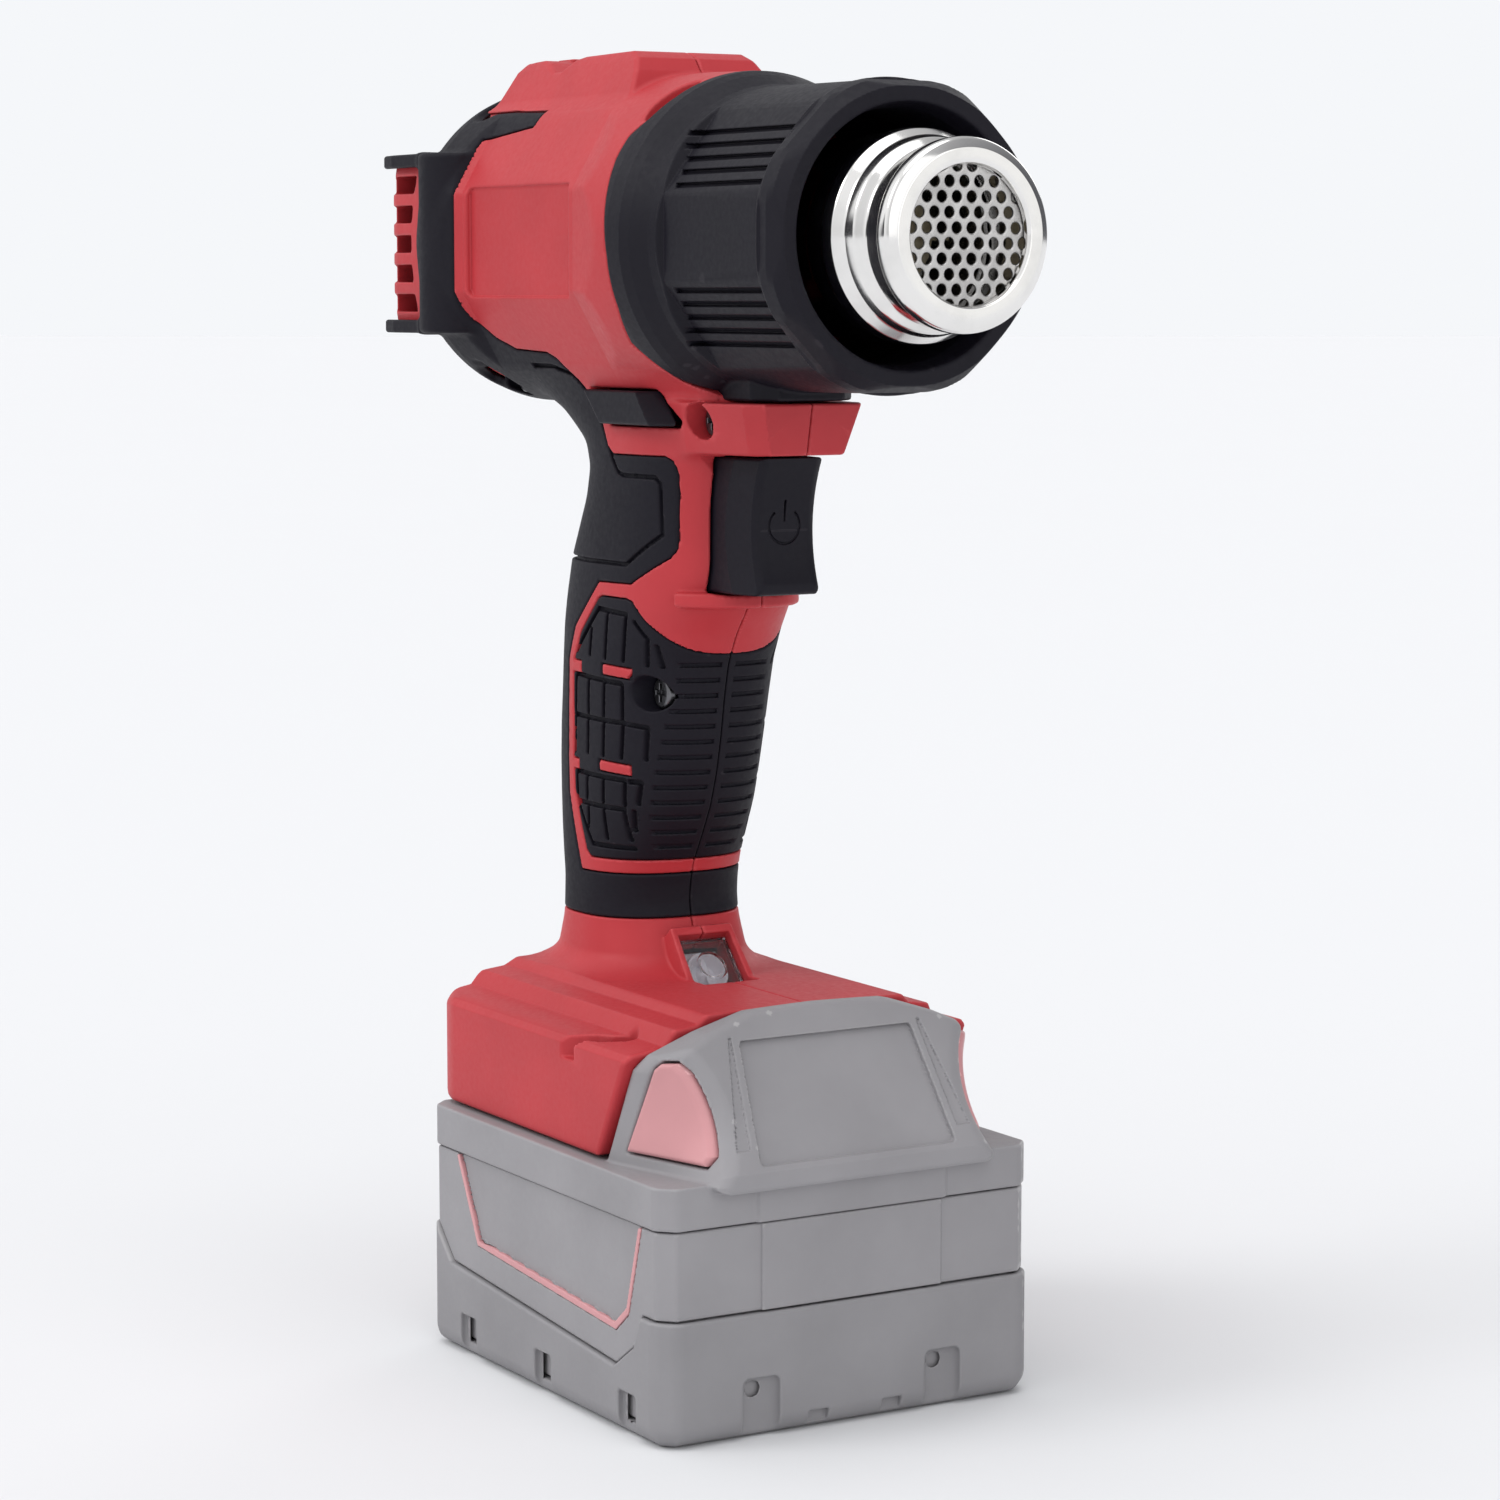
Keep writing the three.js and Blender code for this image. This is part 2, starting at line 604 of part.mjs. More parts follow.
function intakeGrille() {
  const shell = cut(intakeOutline(0, [-81.75, -63.6]), intakeOutline(2, [-79.75, -60]));
  const slots = [];
  for (let i = -2; i <= 2; i += 1) {
    const z = AXIS_Z + 5.9 * i;
    slots.push(box([-80, -72.4], [15, FAR], [z - 1.7, z + 1.7]));
    slots.push(box([-80, -72.4], [-FAR, -15], [z - 1.7, z + 1.7]));
  }
  const edge = [[-60, 34], [-78, 30.6], [-81, 28.6], [-81.75, 25.5]];
  const mirrored = edge.map(([x, y]) => [x, -y]).reverse();
  const plan = prismZ([...edge, ...mirrored], [AXIS_Z - LIP_Z, AXIS_Z + LIP_Z]);
  return cut(common(shell, plan), ...slots);
}

// ---------- controls ----------
const TRIGGER_FACE = [
  [27, TRIGGER_Z[1]], [25, 175.5], [23.6, 171], [23.35, 166], [23.6, 161], [24.6, 157], [25.2, 154.5],
  [24, TRIGGER_Z[0]],
];

function trigger() {
  const outline = [[6, TRIGGER_Z[1]], ...TRIGGER_FACE, [6, TRIGGER_Z[0]]];
  const paddle = prismY(outline.reverse(), [-TRIGGER_HALF_WIDTH, TRIGGER_HALF_WIDTH]);
  const plan = [[5, -8], [22.4, -8], [25, -6.6], [40, -6.6], [40, 6.6], [25, 6.6], [22.4, 8], [5, 8]];
  const shaped = common(paddle, prismZ(plan, [150, 182]));
  const pocket = rodX([0, 18], 5.6, 0, 165.5, 16);
  const plunger = rodX([-4.5, 19], 2, 0, 165.5, 12);
  return join(cut(shaped, pocket), plunger);
}

const triggerSpring = () => coil(3.9, 0.5, 5, [-1.4, 17.2], 165.5, 8, 4);

function switchModule() {
  const block = box([-22, -2.4], [-8.5, 8.5], [154, 177]);
  const lugs = box([-26, -22], [-6, 6], [160, 171]);
  return cut(join(block, lugs), rodX([-14, 0], 2.6, 0, 165.5, 12));
}

function lockBar() {
  const head = (y0, y1) => prismY(LOCK_OUTLINE, [y0, y1]);
  const stem = box([-8, 4], [-17, 17], [184.4, 188.4]);
  return join(head(-20.4, -16.8), head(16.8, 20.4), stem);
}

function controlBoard() {
  const board = box([-30, -28.4], [-9, 9], [104, 148]);
  const parts = [
    box([-28.5, -22], [-6, 6], [128, 140]),
    box([-28.5, -20], [-7, -1], [108, 120]),
    rodX([-28.5, -16], 4, 3.4, 114),
  ];
  return join(board, ...parts);
}

// ---------- work light ----------
function workLightLens() {
  return prismY([[-9.4, 84.1], [-7.3, 84.1], [1.4, 73.8], [-0.7, 73.8]].reverse(), [-5.6, 5.6]);
}

function workLightBoard() {
  const board = prismY([[-15, 82.5], [-13.8, 83.4], [-7, 75.2], [-8.2, 74.4]].reverse(), [-5, 5]);
  return join(board, prismY([[-12.2, 80.8], [-10.2, 81.6], [-8.2, 79.2], [-10.2, 77.8]].reverse(), [-2, 2]));
}

// ---------- power connection in the foot ----------
function terminalBlock() {
  return box([-44, -37], [-16, 16], [55.4, 62.2]);
}

const BLADE_Y = [-11, 0, 11];
const toolBlade = (y) => box([-36.7, -20], [y - 0.4, y + 0.4], [56, 61]);

// ---------- battery pack ----------
function roundedPlan(inset, corner) {
  const [x0, x1] = [PACK_X[0] + inset, PACK_X[1] - inset];
  const half = PACK_HALF_WIDTH - inset;
  const c = corner - Math.min(inset, corner - 1);
  const points = [];
  const corners = [
    [x1 - c, -half + c, -90], [x1 - c, half - c, 0], [x0 + c, half - c, 90], [x0 + c, -half + c, 180],
  ];
  for (const [x, y, start] of corners) {
    for (let k = 0; k <= 3; k += 1) {
      const angle = THREE.MathUtils.degToRad(start + 30 * k);
      points.push([x + c * Math.cos(angle), y + c * Math.sin(angle)]);
    }
  }
  return points;
}

const packBlock = (inset, heights, corner = 5) => prismZ(roundedPlan(inset, corner), heights);

function packBumper() {
  const lowered = [
    [-60, 30], [-60, 24.6], [-42.5, 24.6], [-35.5, 17.6], [31, 12.4], [38.5, 17.4], [41, 23.4], [60, 23.4],
    [60, 30],
  ];
  const tray = cut(
    join(packBlock(0.5, [2.5, BUMPER_Z + 2]), packBlock(3.1, [0, 2.6])),
    packBlock(2, [2.6, 30]),
    prismY(lowered, [-FAR, FAR]),
  );
  const notches = [];
  for (const side of [-1, 1]) {
    notches.push(box([PACK_X[1] - 1.6, FAR], [side * 19.8 - 4, side * 19.8 + 4], [-1, 11]));
    const outside = side > 0 ? [38, FAR] : [-FAR, -38];
    for (const x of [-28, 3, 36]) notches.push(box([x - 3.5, x + 3.5], outside, [-1, 8]));
  }
  return cut(tray, ...notches);
}

const SIDE_STRIPE = [[-34.2, 39.2], [-25.4, 22.4], [31, 18.4], [36.2, 22.3], [41, 39.2]];

function stripeOutline(width) {
  const acrossBy = [width, width, -width / 2, -width, -width];
  const upBy = [0, width * 1.1, width * 1.1, width * 0.6, 0];
  const inner = SIDE_STRIPE.map(([x, z], i) => [x + acrossBy[i], z + upBy[i]]);
  return [...SIDE_STRIPE, ...inner.reverse()];
}

function packBottomCase() {
  const whole = join(packBlock(2.3, [3, 30]), cut(packBlock(0.3, [12, PACK_SEAM_Z]), bumperTop()));
  const stripes = [[-FAR, -38.6], [38.6, FAR]].map((span) => prismY(stripeOutline(1.3), span));
  return cut(whole, packBlock(3.4, [4.2, FAR]), ...stripes);
}

// The space that the bumper fills, with its clearance.
function bumperTop() {
  const below = [
    [-60, -5], [-60, 24.9], [-42.4, 24.9], [-35.4, 17.9], [31, 12.7], [38.4, 17.7], [40.8, 23.7], [60, 23.7],
    [60, -5],
  ];
  return prismY(below, [-FAR, FAR]);
}

const packStripe = (side) =>
  prismY(stripeOutline(0.9), side > 0 ? [38.9, PACK_HALF_WIDTH - 0.1] : [-PACK_HALF_WIDTH + 0.1, -38.9]);

// Raised block in front of the foot; its back edge follows the foot's front edge.
function gable(inset) {
  const top = inset ? [[31.9 + inset, 75.4 - inset]] : [[37, 77.3], [33.1, 77.3], [30.9, 70]];
  const side = prismY(
    [
      [19.9 + inset, PACK_TOP - 1], [50.5 - inset, PACK_TOP - 1], [50.5 - inset, 49.4],
      [39.4 - inset, 75.4 - inset], ...top,
    ],
    [-FAR, FAR],
  );
  const outline = [
    [35.4 - inset, PACK_TOP - 1], [34.8 - inset, 52], [32.2 - inset, 64], [27.6 - inset, 72.4 - inset],
    [17 - inset, 77.3 - inset],
  ];
  const mirrored = outline.map(([y, z]) => [-y, z]).reverse();
  const plan = [
    [19, -36.4], [38 - inset, -36.4], [48 - inset, -32], [51 - inset, -27], [51 - inset, 27],
    [48 - inset, 32], [38 - inset, 36.4], [19, 36.4],
  ];
  return common(side, prismX([...outline, ...mirrored], [-FAR, FAR]), prismZ(plan, [PACK_TOP - 1, 80]));
}

// The tower that slides into the foot, with a rail along each side.
function rails() {
  const outline = [[25.6, 48], [25.6, 56], [31, 56], [31, 61.6]];
  const mirrored = outline.map(([y, z]) => [-y, z]).reverse();
  return prismX([...outline, ...mirrored], [-35, 24]);
}

const BUTTON_OUTLINE = [[25.4, 50.8], [44, 50.8], [45, 53], [40, 68], [38, 70], [35, 69.8], [33.4, 68.4]];

function buttonHole(side) {
  const span = side > 0 ? [12, FAR] : [-FAR, -12];
  return prismY(grown(BUTTON_OUTLINE, 0.3), span);
}

function packTopCase() {
  const plate = packBlock(0.2, [PACK_SEAM_Z + GAP, PACK_TOP]);
  const whole = join(plate, gable(0), cut(rails(), box([-FAR, FAR], [-FAR, FAR], [0, PACK_TOP - 1])));
  const hollow = packBlock(3, [0, PACK_TOP - 2.4], 4);
  const towerHollow = box([-32.5, 20], [-23, 23], [40, 59.4]);
  const gableHollow = common(gable(2.6), box([-FAR, FAR], [-30, 30], [PACK_TOP - 4, FAR]));
  const slots = BLADE_Y.map((y) => box([-36, -14], [y - 0.9, y + 0.9], [55.4, FAR]));
  const buttons = [buttonHole(-1), buttonHole(1)];
  return cut(whole, hollow, towerHollow, cut(gableHollow, gableRib()), ...slots, ...buttons);
}

// Wall that the button springs press on.
function gableRib() {
  return box([24, 48], [-3, 3], [PACK_TOP - 4, 76]);
}

function releaseButton(side) {
  const outside = side > 0 ? [22, 35.4] : [-35.4, -22];
  const behind = side > 0 ? [18, 23] : [-23, -18];
  const cap = common(prismY(BUTTON_OUTLINE, outside), buttonForm(side));
  const latch = box([34.5, 39.5], behind, [56, 64]);
  return join(cap, latch);
}

function buttonForm(side) {
  const outline = [[20, 50], [35.2, 50], [35.2, 52.5], [33, 64], [30, 71], [20, 71]];
  return prismX(side > 0 ? outline : outline.map(([y, z]) => [-y, z]).reverse(), [-FAR, FAR]);
}

function buttonSpring(side) {
  const length = 14.2;
  const wound = coil(2.6, 0.45, 4, [0, length], 0, 8, 4);
  return wound.rotate([0, 0, side * 90]).translate([37, side * 3.5, 60]);
}

const CELLS = [];
for (let layer = 0; layer < 2; layer += 1) {
  for (let i = 0; i < 5; i += 1) {
    CELLS.push({
      name: `cell_${layer * 5 + i + 1}`,
      x: (PACK_X[0] + PACK_X[1]) / 2 + (i - 2) * CELL_PITCH,
      z: 4.6 + CELL_R + layer * CELL_PITCH,
    });
  }
}

const batteryCell = ({ x, z }) => rodY([-CELL_LENGTH / 2, CELL_LENGTH / 2], CELL_R, x, z, 14);

function cellPlate(side) {
  const y = side * (CELL_LENGTH / 2 + 0.9);
  const plate = box([PACK_X[0] + 6, PACK_X[1] - 6], [y - 0.5, y + 0.5], [6, 37]);
  return cut(plate, ...CELLS.map(({ x, z }) => rodY([y - 3, y + 3], 2, x, z, 4)));
}

function packBoard() {
  const board = box([-38, 34], [-28, 28], [41.2, 42.8]);
  return join(board, box([-30, -12], [-16, 16], [42.7, 50]), box([0, 8], [-6, 6], [42.7, 45.6]));
}

// ---------- the assembly ----------
const MATERIALS = {
  red: { color: 0xb8242c, roughness: 0.5, metalness: 0 },
  black: { color: 0x1e1d21, roughness: 0.6, metalness: 0 },
  rubber: { color: 0x232226, roughness: 0.8, metalness: 0 },
  grey: { color: 0x8f8c8f, roughness: 0.6, metalness: 0 },
  darkGrey: { color: 0x7f7c80, roughness: 0.7, metalness: 0 },
  pink: { color: 0xdc8e8e, roughness: 0.45, metalness: 0 },
  chrome: { color: 0xd9d9da, roughness: 0.12, metalness: 1 },
  steel: { color: 0xa9a9ab, roughness: 0.35, metalness: 1 },
  darkSteel: { color: 0x3a393d, roughness: 0.4, metalness: 1 },
  led: { color: 0xeeeef0, roughness: 0.3, metalness: 0 },
  mica: { color: 0xb9a98a, roughness: 0.7, metalness: 0 },
  brass: { color: 0xb8923e, roughness: 0.35, metalness: 1 },
  board: { color: 0x1f5a3a, roughness: 0.5, metalness: 0 },
  clear: { color: 0xdfe4e8, roughness: 0.1, metalness: 0 },
  cell: { color: 0x3f6fa0, roughness: 0.4, metalness: 0 },
};

const heatGun = new THREE.Group();

function add(name, form, material) {
  const mesh = new THREE.Mesh(geometryOf(main(form)), new THREE.MeshStandardMaterial(MATERIALS[material]));
  mesh.name = name;
  heatGun.add(mesh);
}

const wholeHousing = housing();
const wholeRear = rearOvermould();
const wholeGrip = gripOvermould();
for (const [side, half] of [["left", left], ["right", right]]) {
  add(`housing_${side}`, common(wholeHousing, half), "red");
  add(`rear_overmould_${side}`, common(wholeRear, half), "rubber");
  add(`grip_overmould_${side}`, common(wholeGrip, half), "rubber");
}
for (const place of SCREWS) add(place.name, screw(place), "darkSteel");

add("nozzle_guard", nozzleGuard(), "black");
add("nozzle", nozzle(), "chrome");
add("outlet_screen", outletScreen(), "steel");
add("heater_sleeve", heaterSleeve(), "steel");
add("heater_former", heaterFormer(), "mica");
add("heating_coil", heatingCoil(), "steel");
add("thermal_cutout", thermalCutout(), "steel");

add("intake_grille", intakeGrille(), "red");
add("fan_duct", fanDuct(), "black");
add("fan_motor", fanMotor(), "steel");
add("motor_shaft", motorShaft(), "steel");
add("impeller", impeller(), "black");

add("trigger", trigger(), "black");
add("trigger_spring", triggerSpring(), "steel");
add("switch_module", switchModule(), "black");
add("lock_bar", lockBar(), "black");
add("control_board", controlBoard(), "board");
add("work_light_lens", workLightLens(), "clear");
add("work_light_board", workLightBoard(), "led");
add("terminal_block", terminalBlock(), "black");
BLADE_Y.forEach((y, i) => add(`terminal_blade_${i + 1}`, toolBlade(y), "brass"));

add("pack_bumper", packBumper(), "darkGrey");
add("pack_bottom_case", packBottomCase(), "grey");
add("pack_top_case", packTopCase(), "grey");
for (const [side, sign] of [["left", 1], ["right", -1]]) {
  add(`pack_stripe_${side}`, packStripe(sign), "pink");
  add(`release_button_${side}`, releaseButton(sign), "pink");
  add(`button_spring_${side}`, buttonSpring(sign), "steel");
  add(`cell_plate_${side}`, cellPlate(sign), "black");
}
for (const cell of CELLS) add(cell.name, batteryCell(cell), "cell");
add("pack_board", packBoard(), "board");

export default heatGun;
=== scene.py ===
"""Looks of the cordless heat gun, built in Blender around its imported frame.

Every shell is described by a signed distance field: a function that gives each point its distance to
the surface, negative inside. `mesh_of` turns a field into a fine, evenly meshed surface. Lengths in
the fields are millimetres in the frame's own axes, and become metres when the mesh is made.
"""

import math
from concurrent.futures import ThreadPoolExecutor

import bmesh
import bpy
import numpy as np
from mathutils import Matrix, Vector
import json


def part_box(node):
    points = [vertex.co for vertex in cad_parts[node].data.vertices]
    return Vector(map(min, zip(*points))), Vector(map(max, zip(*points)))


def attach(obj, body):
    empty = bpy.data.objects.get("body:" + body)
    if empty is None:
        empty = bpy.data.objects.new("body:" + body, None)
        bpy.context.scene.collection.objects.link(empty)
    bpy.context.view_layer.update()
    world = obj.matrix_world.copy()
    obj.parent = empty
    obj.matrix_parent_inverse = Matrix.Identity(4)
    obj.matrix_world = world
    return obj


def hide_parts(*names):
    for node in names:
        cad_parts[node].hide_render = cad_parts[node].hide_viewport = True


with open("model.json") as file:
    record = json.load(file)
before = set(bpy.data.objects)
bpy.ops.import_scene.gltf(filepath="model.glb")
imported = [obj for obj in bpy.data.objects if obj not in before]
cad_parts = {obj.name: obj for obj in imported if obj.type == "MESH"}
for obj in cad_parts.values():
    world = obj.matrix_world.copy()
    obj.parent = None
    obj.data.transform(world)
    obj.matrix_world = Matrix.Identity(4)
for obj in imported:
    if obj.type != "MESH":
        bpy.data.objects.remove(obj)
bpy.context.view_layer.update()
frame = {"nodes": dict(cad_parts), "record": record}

# ---------- driving dimensions, in millimetres ----------
MM = 0.001
FAR = 400.0
SPLIT = 0.1  # half the gap between the two halves of the housing
SEAM = 0.18  # gap around the edge of the rubber
SKIN = 1.8  # thickness of the rubber
WALL = 4.0

AXIS_Z = 218.3
HEAD_R = 31.6
REAR_X = -68.0
BACK_X = -73.0  # where the barrel's rounded rear end stops
LIP_X = -85.75
LIP_Z = 16.5
TIP_X = 85.75
GUARD_FRONT_X = 67.0
GUARD_BORE_R = 22.3

HANDLE_FRONT_X = 12.65
TRIGGER_Z = (152.4, 178.1)

FOOT_X = -48.75
FOOT_Z = 48.9
FOOT_HALF = 37.8

PACK_X = (-45.8, 49.25)
PACK_HALF = 41.0
PACK_TOP = 48.4
PACK_SEAM_Z = 40.1
PACK_CORNER = 3.4
BUMPER_TOP = 26.0


# ---------- signed distance fields ----------
def mirrored(half):
    """A closed outline from one half of its points. A point on the mirror line isn't repeated."""
    return half + [(-u, v) for u, v in reversed(half) if u]


def inside(outline, u, v):
    """Distance to a closed outline of points in the plane, negative inside."""
    nearest = np.full(u.shape, np.inf, np.float32)
    odd = np.zeros(u.shape, bool)
    count = len(outline)
    for i in range(count):
        (ax, ay), (bx, by) = outline[i], outline[(i + 1) % count]
        ex, ey = bx - ax, by - ay
        wx, wy = u - ax, v - ay
        t = np.clip((wx * ex + wy * ey) / (ex * ex + ey * ey), 0, 1)
        dx, dy = wx - t * ex, wy - t * ey
        np.minimum(nearest, dx * dx + dy * dy, out=nearest)
        if ay != by:
            crossing = ((ay > v) != (by > v)) & (u < ax + (v - ay) * ex / ey)
            odd ^= crossing
    nearest = np.sqrt(nearest)
    return np.where(odd, -nearest, nearest)


def both(a, b, fillet=0.0):
    """Where two forms overlap, with the edge between them rounded."""
    if fillet <= 0:
        return np.maximum(a, b)
    reach_a, reach_b = np.maximum(fillet + a, 0), np.maximum(fillet + b, 0)
    return np.minimum(-fillet, np.maximum(a, b)) + np.sqrt(reach_a * reach_a + reach_b * reach_b)


def either(a, b, fillet=0.0):
    """Two forms joined, with a fillet in the corner between them."""
    return -both(-a, -b, fillet)


def without(a, b, fillet=0.0):
    """The first form less the second."""
    return both(a, -b, fillet)


def carved(form, *cutters):
    """A form less several others. Each cutter comes with the rounding of the edge it leaves."""
    for cutter, fillet in cutters:
        form = without(form, cutter, fillet)
    return form


def all_of(fillet, *forms):
    result = forms[0]
    for form in forms[1:]:
        result = both(result, form, fillet)
    return result


def any_of(fillet, *forms):
    result = forms[0]
    for form in forms[1:]:
        result = either(result, form, fillet)
    return result


def span(w, low, high):
    """Distance to the slab between two values of one coordinate."""
    return np.abs(w - (low + high) / 2) - (high - low) / 2


def block(x, y, z, xs, ys, zs, fillet=0.0):
    return all_of(fillet, span(x, *xs), span(y, *ys), span(z, *zs))


def rod(u, v, centre_u, centre_v, radius):
    return np.hypot(u - centre_u, v - centre_v) - radius


def capsule(u, v, start, end, radius):
    """A thick line with round ends, in the plane."""
    (ax, ay), (bx, by) = start, end
    ex, ey = bx - ax, by - ay
    t = np.clip(((u - ax) * ex + (v - ay) * ey) / (ex * ex + ey * ey), 0, 1)
    return np.hypot(u - ax - t * ex, v - ay - t * ey) - radius


def lines(u, v, points, width):
    """A line of the given width through several points, in the plane."""
    legs = [capsule(u, v, a, b, width / 2) for a, b in zip(points, points[1:])]
    return any_of(0, *legs)


# ---------- from a field to a mesh ----------
BLOCK = 8  # cells along each side of a block


def sampled(field, points):
    """The field at many points, worked out in parallel."""
    parts = np.array_split(points, max(1, len(points) // 60000))
    with ThreadPoolExecutor(4) as pool:
        values = pool.map(lambda p: field(p[:, 0], p[:, 1], p[:, 2]).astype(np.float32), parts)
        return np.concatenate(list(values))


def surface_blocks(field, low, cell, counts):
    """Indices of the blocks of cells that the surface may pass through."""
    grid = np.stack(np.meshgrid(*[np.arange(n) for n in counts], indexing="ij"), -1).reshape(-1, 3)
    side = BLOCK * cell
    middles = low + (grid + 0.5) * side
    near = np.abs(sampled(field, middles.astype(np.float32))) < side * 1.15
    return grid[near]


def slope(field, points, step):
    """The field's gradient, from four samples around each point."""
    corners = np.array([[1, -1, -1], [-1, -1, 1], [-1, 1, -1], [1, 1, 1]], np.float32)
    total = np.zeros_like(points)
    for corner in corners:
        total += corner * sampled(field, points + corner * step)[:, None]
    return total / (4 * step)


def crossings(values, origins):
    """One point for each cell that the surface passes through, and the signs at the grid's corners from
    which the quads are made.
    """
    size = BLOCK + 1
    v = values.reshape(-1, size, size, size)
    sign = v < 0
    cells = v.shape[0], BLOCK, BLOCK, BLOCK
    total = np.zeros(cells + (3,), np.float32)
    hits = np.zeros(cells, np.float32)
    for axis in range(3):
        for a in (0, 1):
            for b in (0, 1):
                start = [a, b]
                start.insert(axis, 0)
                end = [a, b]
                end.insert(axis, 1)
                window = [slice(s, s + BLOCK) for s in start]
                other = [slice(s, s + BLOCK) for s in end]
                va, vb = v[(slice(None), *window)], v[(slice(None), *other)]
                crossed = (va < 0) != (vb < 0)
                t = np.where(crossed, va / np.where(crossed, va - vb, 1), 0)
                hits += crossed
                for k in range(3):
                    place = t if k == axis else start[k]
                    total[..., k] += np.where(crossed, place, 0)
    found = hits > 0
    at = np.argwhere(found)
    places = at[:, 1:] + origins[at[:, 0]] * BLOCK
    offsets = total[found] / hits[found][:, None]
    return sign, places.astype(np.int64), offsets


def quads_of(sign, origins, key):
    """Four cell keys for each grid edge that the surface crosses, wound outwards."""
    quads = []
    steps = np.eye(3, dtype=np.int64)
    for axis in range(3):
        window = [slice(0, BLOCK)] * 3
        other = [slice(0, BLOCK)] * 3
        other[axis] = slice(1, BLOCK + 1)
        low, high = sign[(slice(None), *window)], sign[(slice(None), *other)]
        at = np.argwhere(low != high)
        leaving = low[tuple(at.T)]
        place = at[:, 1:] + origins[at[:, 0]] * BLOCK
        u, w = steps[(axis + 1) % 3], steps[(axis + 2) % 3]
        ring = np.stack([key(place), key(place - u), key(place - u - w), key(place - w)], 1)
        ring[~leaving] = ring[~leaving][:, ::-1]
        quads.append(ring)
    return np.concatenate(quads)


def mesh_of(name, field, low, high, cell, faces=190_000):
    """A mesh object of the field's surface between two corners, in millimetres."""
    cell = cell * 1.0
    low = np.array(low, np.float64) - cell
    counts = np.ceil((np.array(high) + cell - low) / (cell * BLOCK)).astype(int)
    origins = surface_blocks(field, low, cell, counts)
    steps = np.arange(BLOCK + 1)
    local = np.stack(np.meshgrid(steps, steps, steps, indexing="ij"), -1).reshape(-1, 3)
    index = (origins[:, None] * BLOCK + local[None]).reshape(-1, 3)
    values = sampled(field, (low + index * cell).astype(np.float32))
    sign, places, offsets = crossings(values, origins)

    wide = counts.max() * BLOCK + 2

    def key(p):
        return (p[:, 0] * wide + p[:, 1]) * wide + p[:, 2]

    keys = key(places)
    order = np.argsort(keys)
    quads = quads_of(sign, origins, key)
    slot = np.clip(np.searchsorted(keys[order], quads), 0, len(keys) - 1)
    known = (keys[order][slot] == quads).all(1)
    faces_of = order[slot[known]]

    points = (low + (places + offsets) * cell).astype(np.float32)
    for _ in range(3):
        gradient = slope(field, points, cell * 0.15)
        length = np.maximum((gradient * gradient).sum(1), 0.3)
        move = -(sampled(field, points) / length)[:, None] * gradient
        reach = np.linalg.norm(move, axis=1, keepdims=True)
        points += move * np.minimum(1, 0.5 * cell / np.maximum(reach, 1e-9))
    piece = object_of(name, points * MM, faces_of, faces)
    shade_from(piece, field, cell * 0.1)
    return piece


def shade_from(piece, field, step):
    """Shading normals from the field itself, so that a flat face looks flat right up to its edges."""
    mesh = piece.data
    points = np.empty(len(mesh.vertices) * 3, np.float32)
    mesh.vertices.foreach_get("co", points)
    normals = slope(field, points.reshape(-1, 3) / MM, step)
    normals /= np.maximum(np.linalg.norm(normals, axis=1, keepdims=True), 1e-6)
    mesh.normals_split_custom_set_from_vertices(normals)


def object_of(name, points, polygons, most_faces=None):
    mesh = bpy.data.meshes.new(name)
    mesh.vertices.add(len(points))
    mesh.vertices.foreach_set("co", np.asarray(points, np.float32).ravel())
    corners = np.asarray(polygons, np.int32)
    mesh.loops.add(corners.size)
    mesh.loops.foreach_set("vertex_index", corners.ravel())
    mesh.polygons.add(len(corners))
    mesh.polygons.foreach_set("loop_start", np.arange(0, corners.size, corners.shape[1], dtype=np.int32))
    mesh.update(calc_edges=True)
    mesh.validate()
    piece = bpy.data.objects.new(name, mesh)
    bpy.context.scene.collection.objects.link(piece)
    if most_faces and len(corners) * 2 > most_faces:
        thin(piece, most_faces / (len(corners) * 2))
    piece.data.polygons.foreach_set("use_smooth", np.ones(len(piece.data.polygons), bool))
    return piece


def thin(piece, ratio):
    """Fewer faces where the surface is flat."""
    modifier = piece.modifiers.new("thin", "DECIMATE")
    modifier.ratio = ratio
    applied = bpy.data.meshes.new_from_object(piece.evaluated_get(bpy.context.evaluated_depsgraph_get()))
    piece.modifiers.clear()
    old = piece.data
    piece.data = applied
    bpy.data.meshes.remove(old)


# ---------- the outer form ----------
HEAD_PROFILE = [
    (BACK_X, 0), (BACK_X, 26.6), (-71.4, 29.2), (-68.6, 30.8), (-64, 31.6), (-46, 31.7), (2, HEAD_R),
    (17, 31.1), (19.2, 30.3), (23, 28.4), (60, 27.8), (65.6, 27.1),
    (GUARD_FRONT_X, 25.8), (GUARD_FRONT_X, 0),
]
FACET_X = (-51.0, -5.0)


def facets(x, y, z, inset):
    """The flatter sides of the barrel, which slope out to full size at each end."""
    ramp = np.maximum(0, np.maximum((FACET_X[0] - x) * 0.5, (x - FACET_X[1]) * 0.21))
    up = np.abs(z - AXIS_Z)
    side = np.abs(y)
    flat = side - 28.8 - ramp
    slant = side * math.cos(math.radians(30)) + up * math.sin(math.radians(30)) - 29.7 - ramp
    return both(flat, slant, 0.25) + inset


def head(x, y, z, inset=0.0):
    radius = np.hypot(y, z - AXIS_Z)
    round_form = inside(HEAD_PROFILE, x, radius) + inset
    return both(round_form, np.where(x < 20, facets(x, y, z, inset), round_form), 0.4)


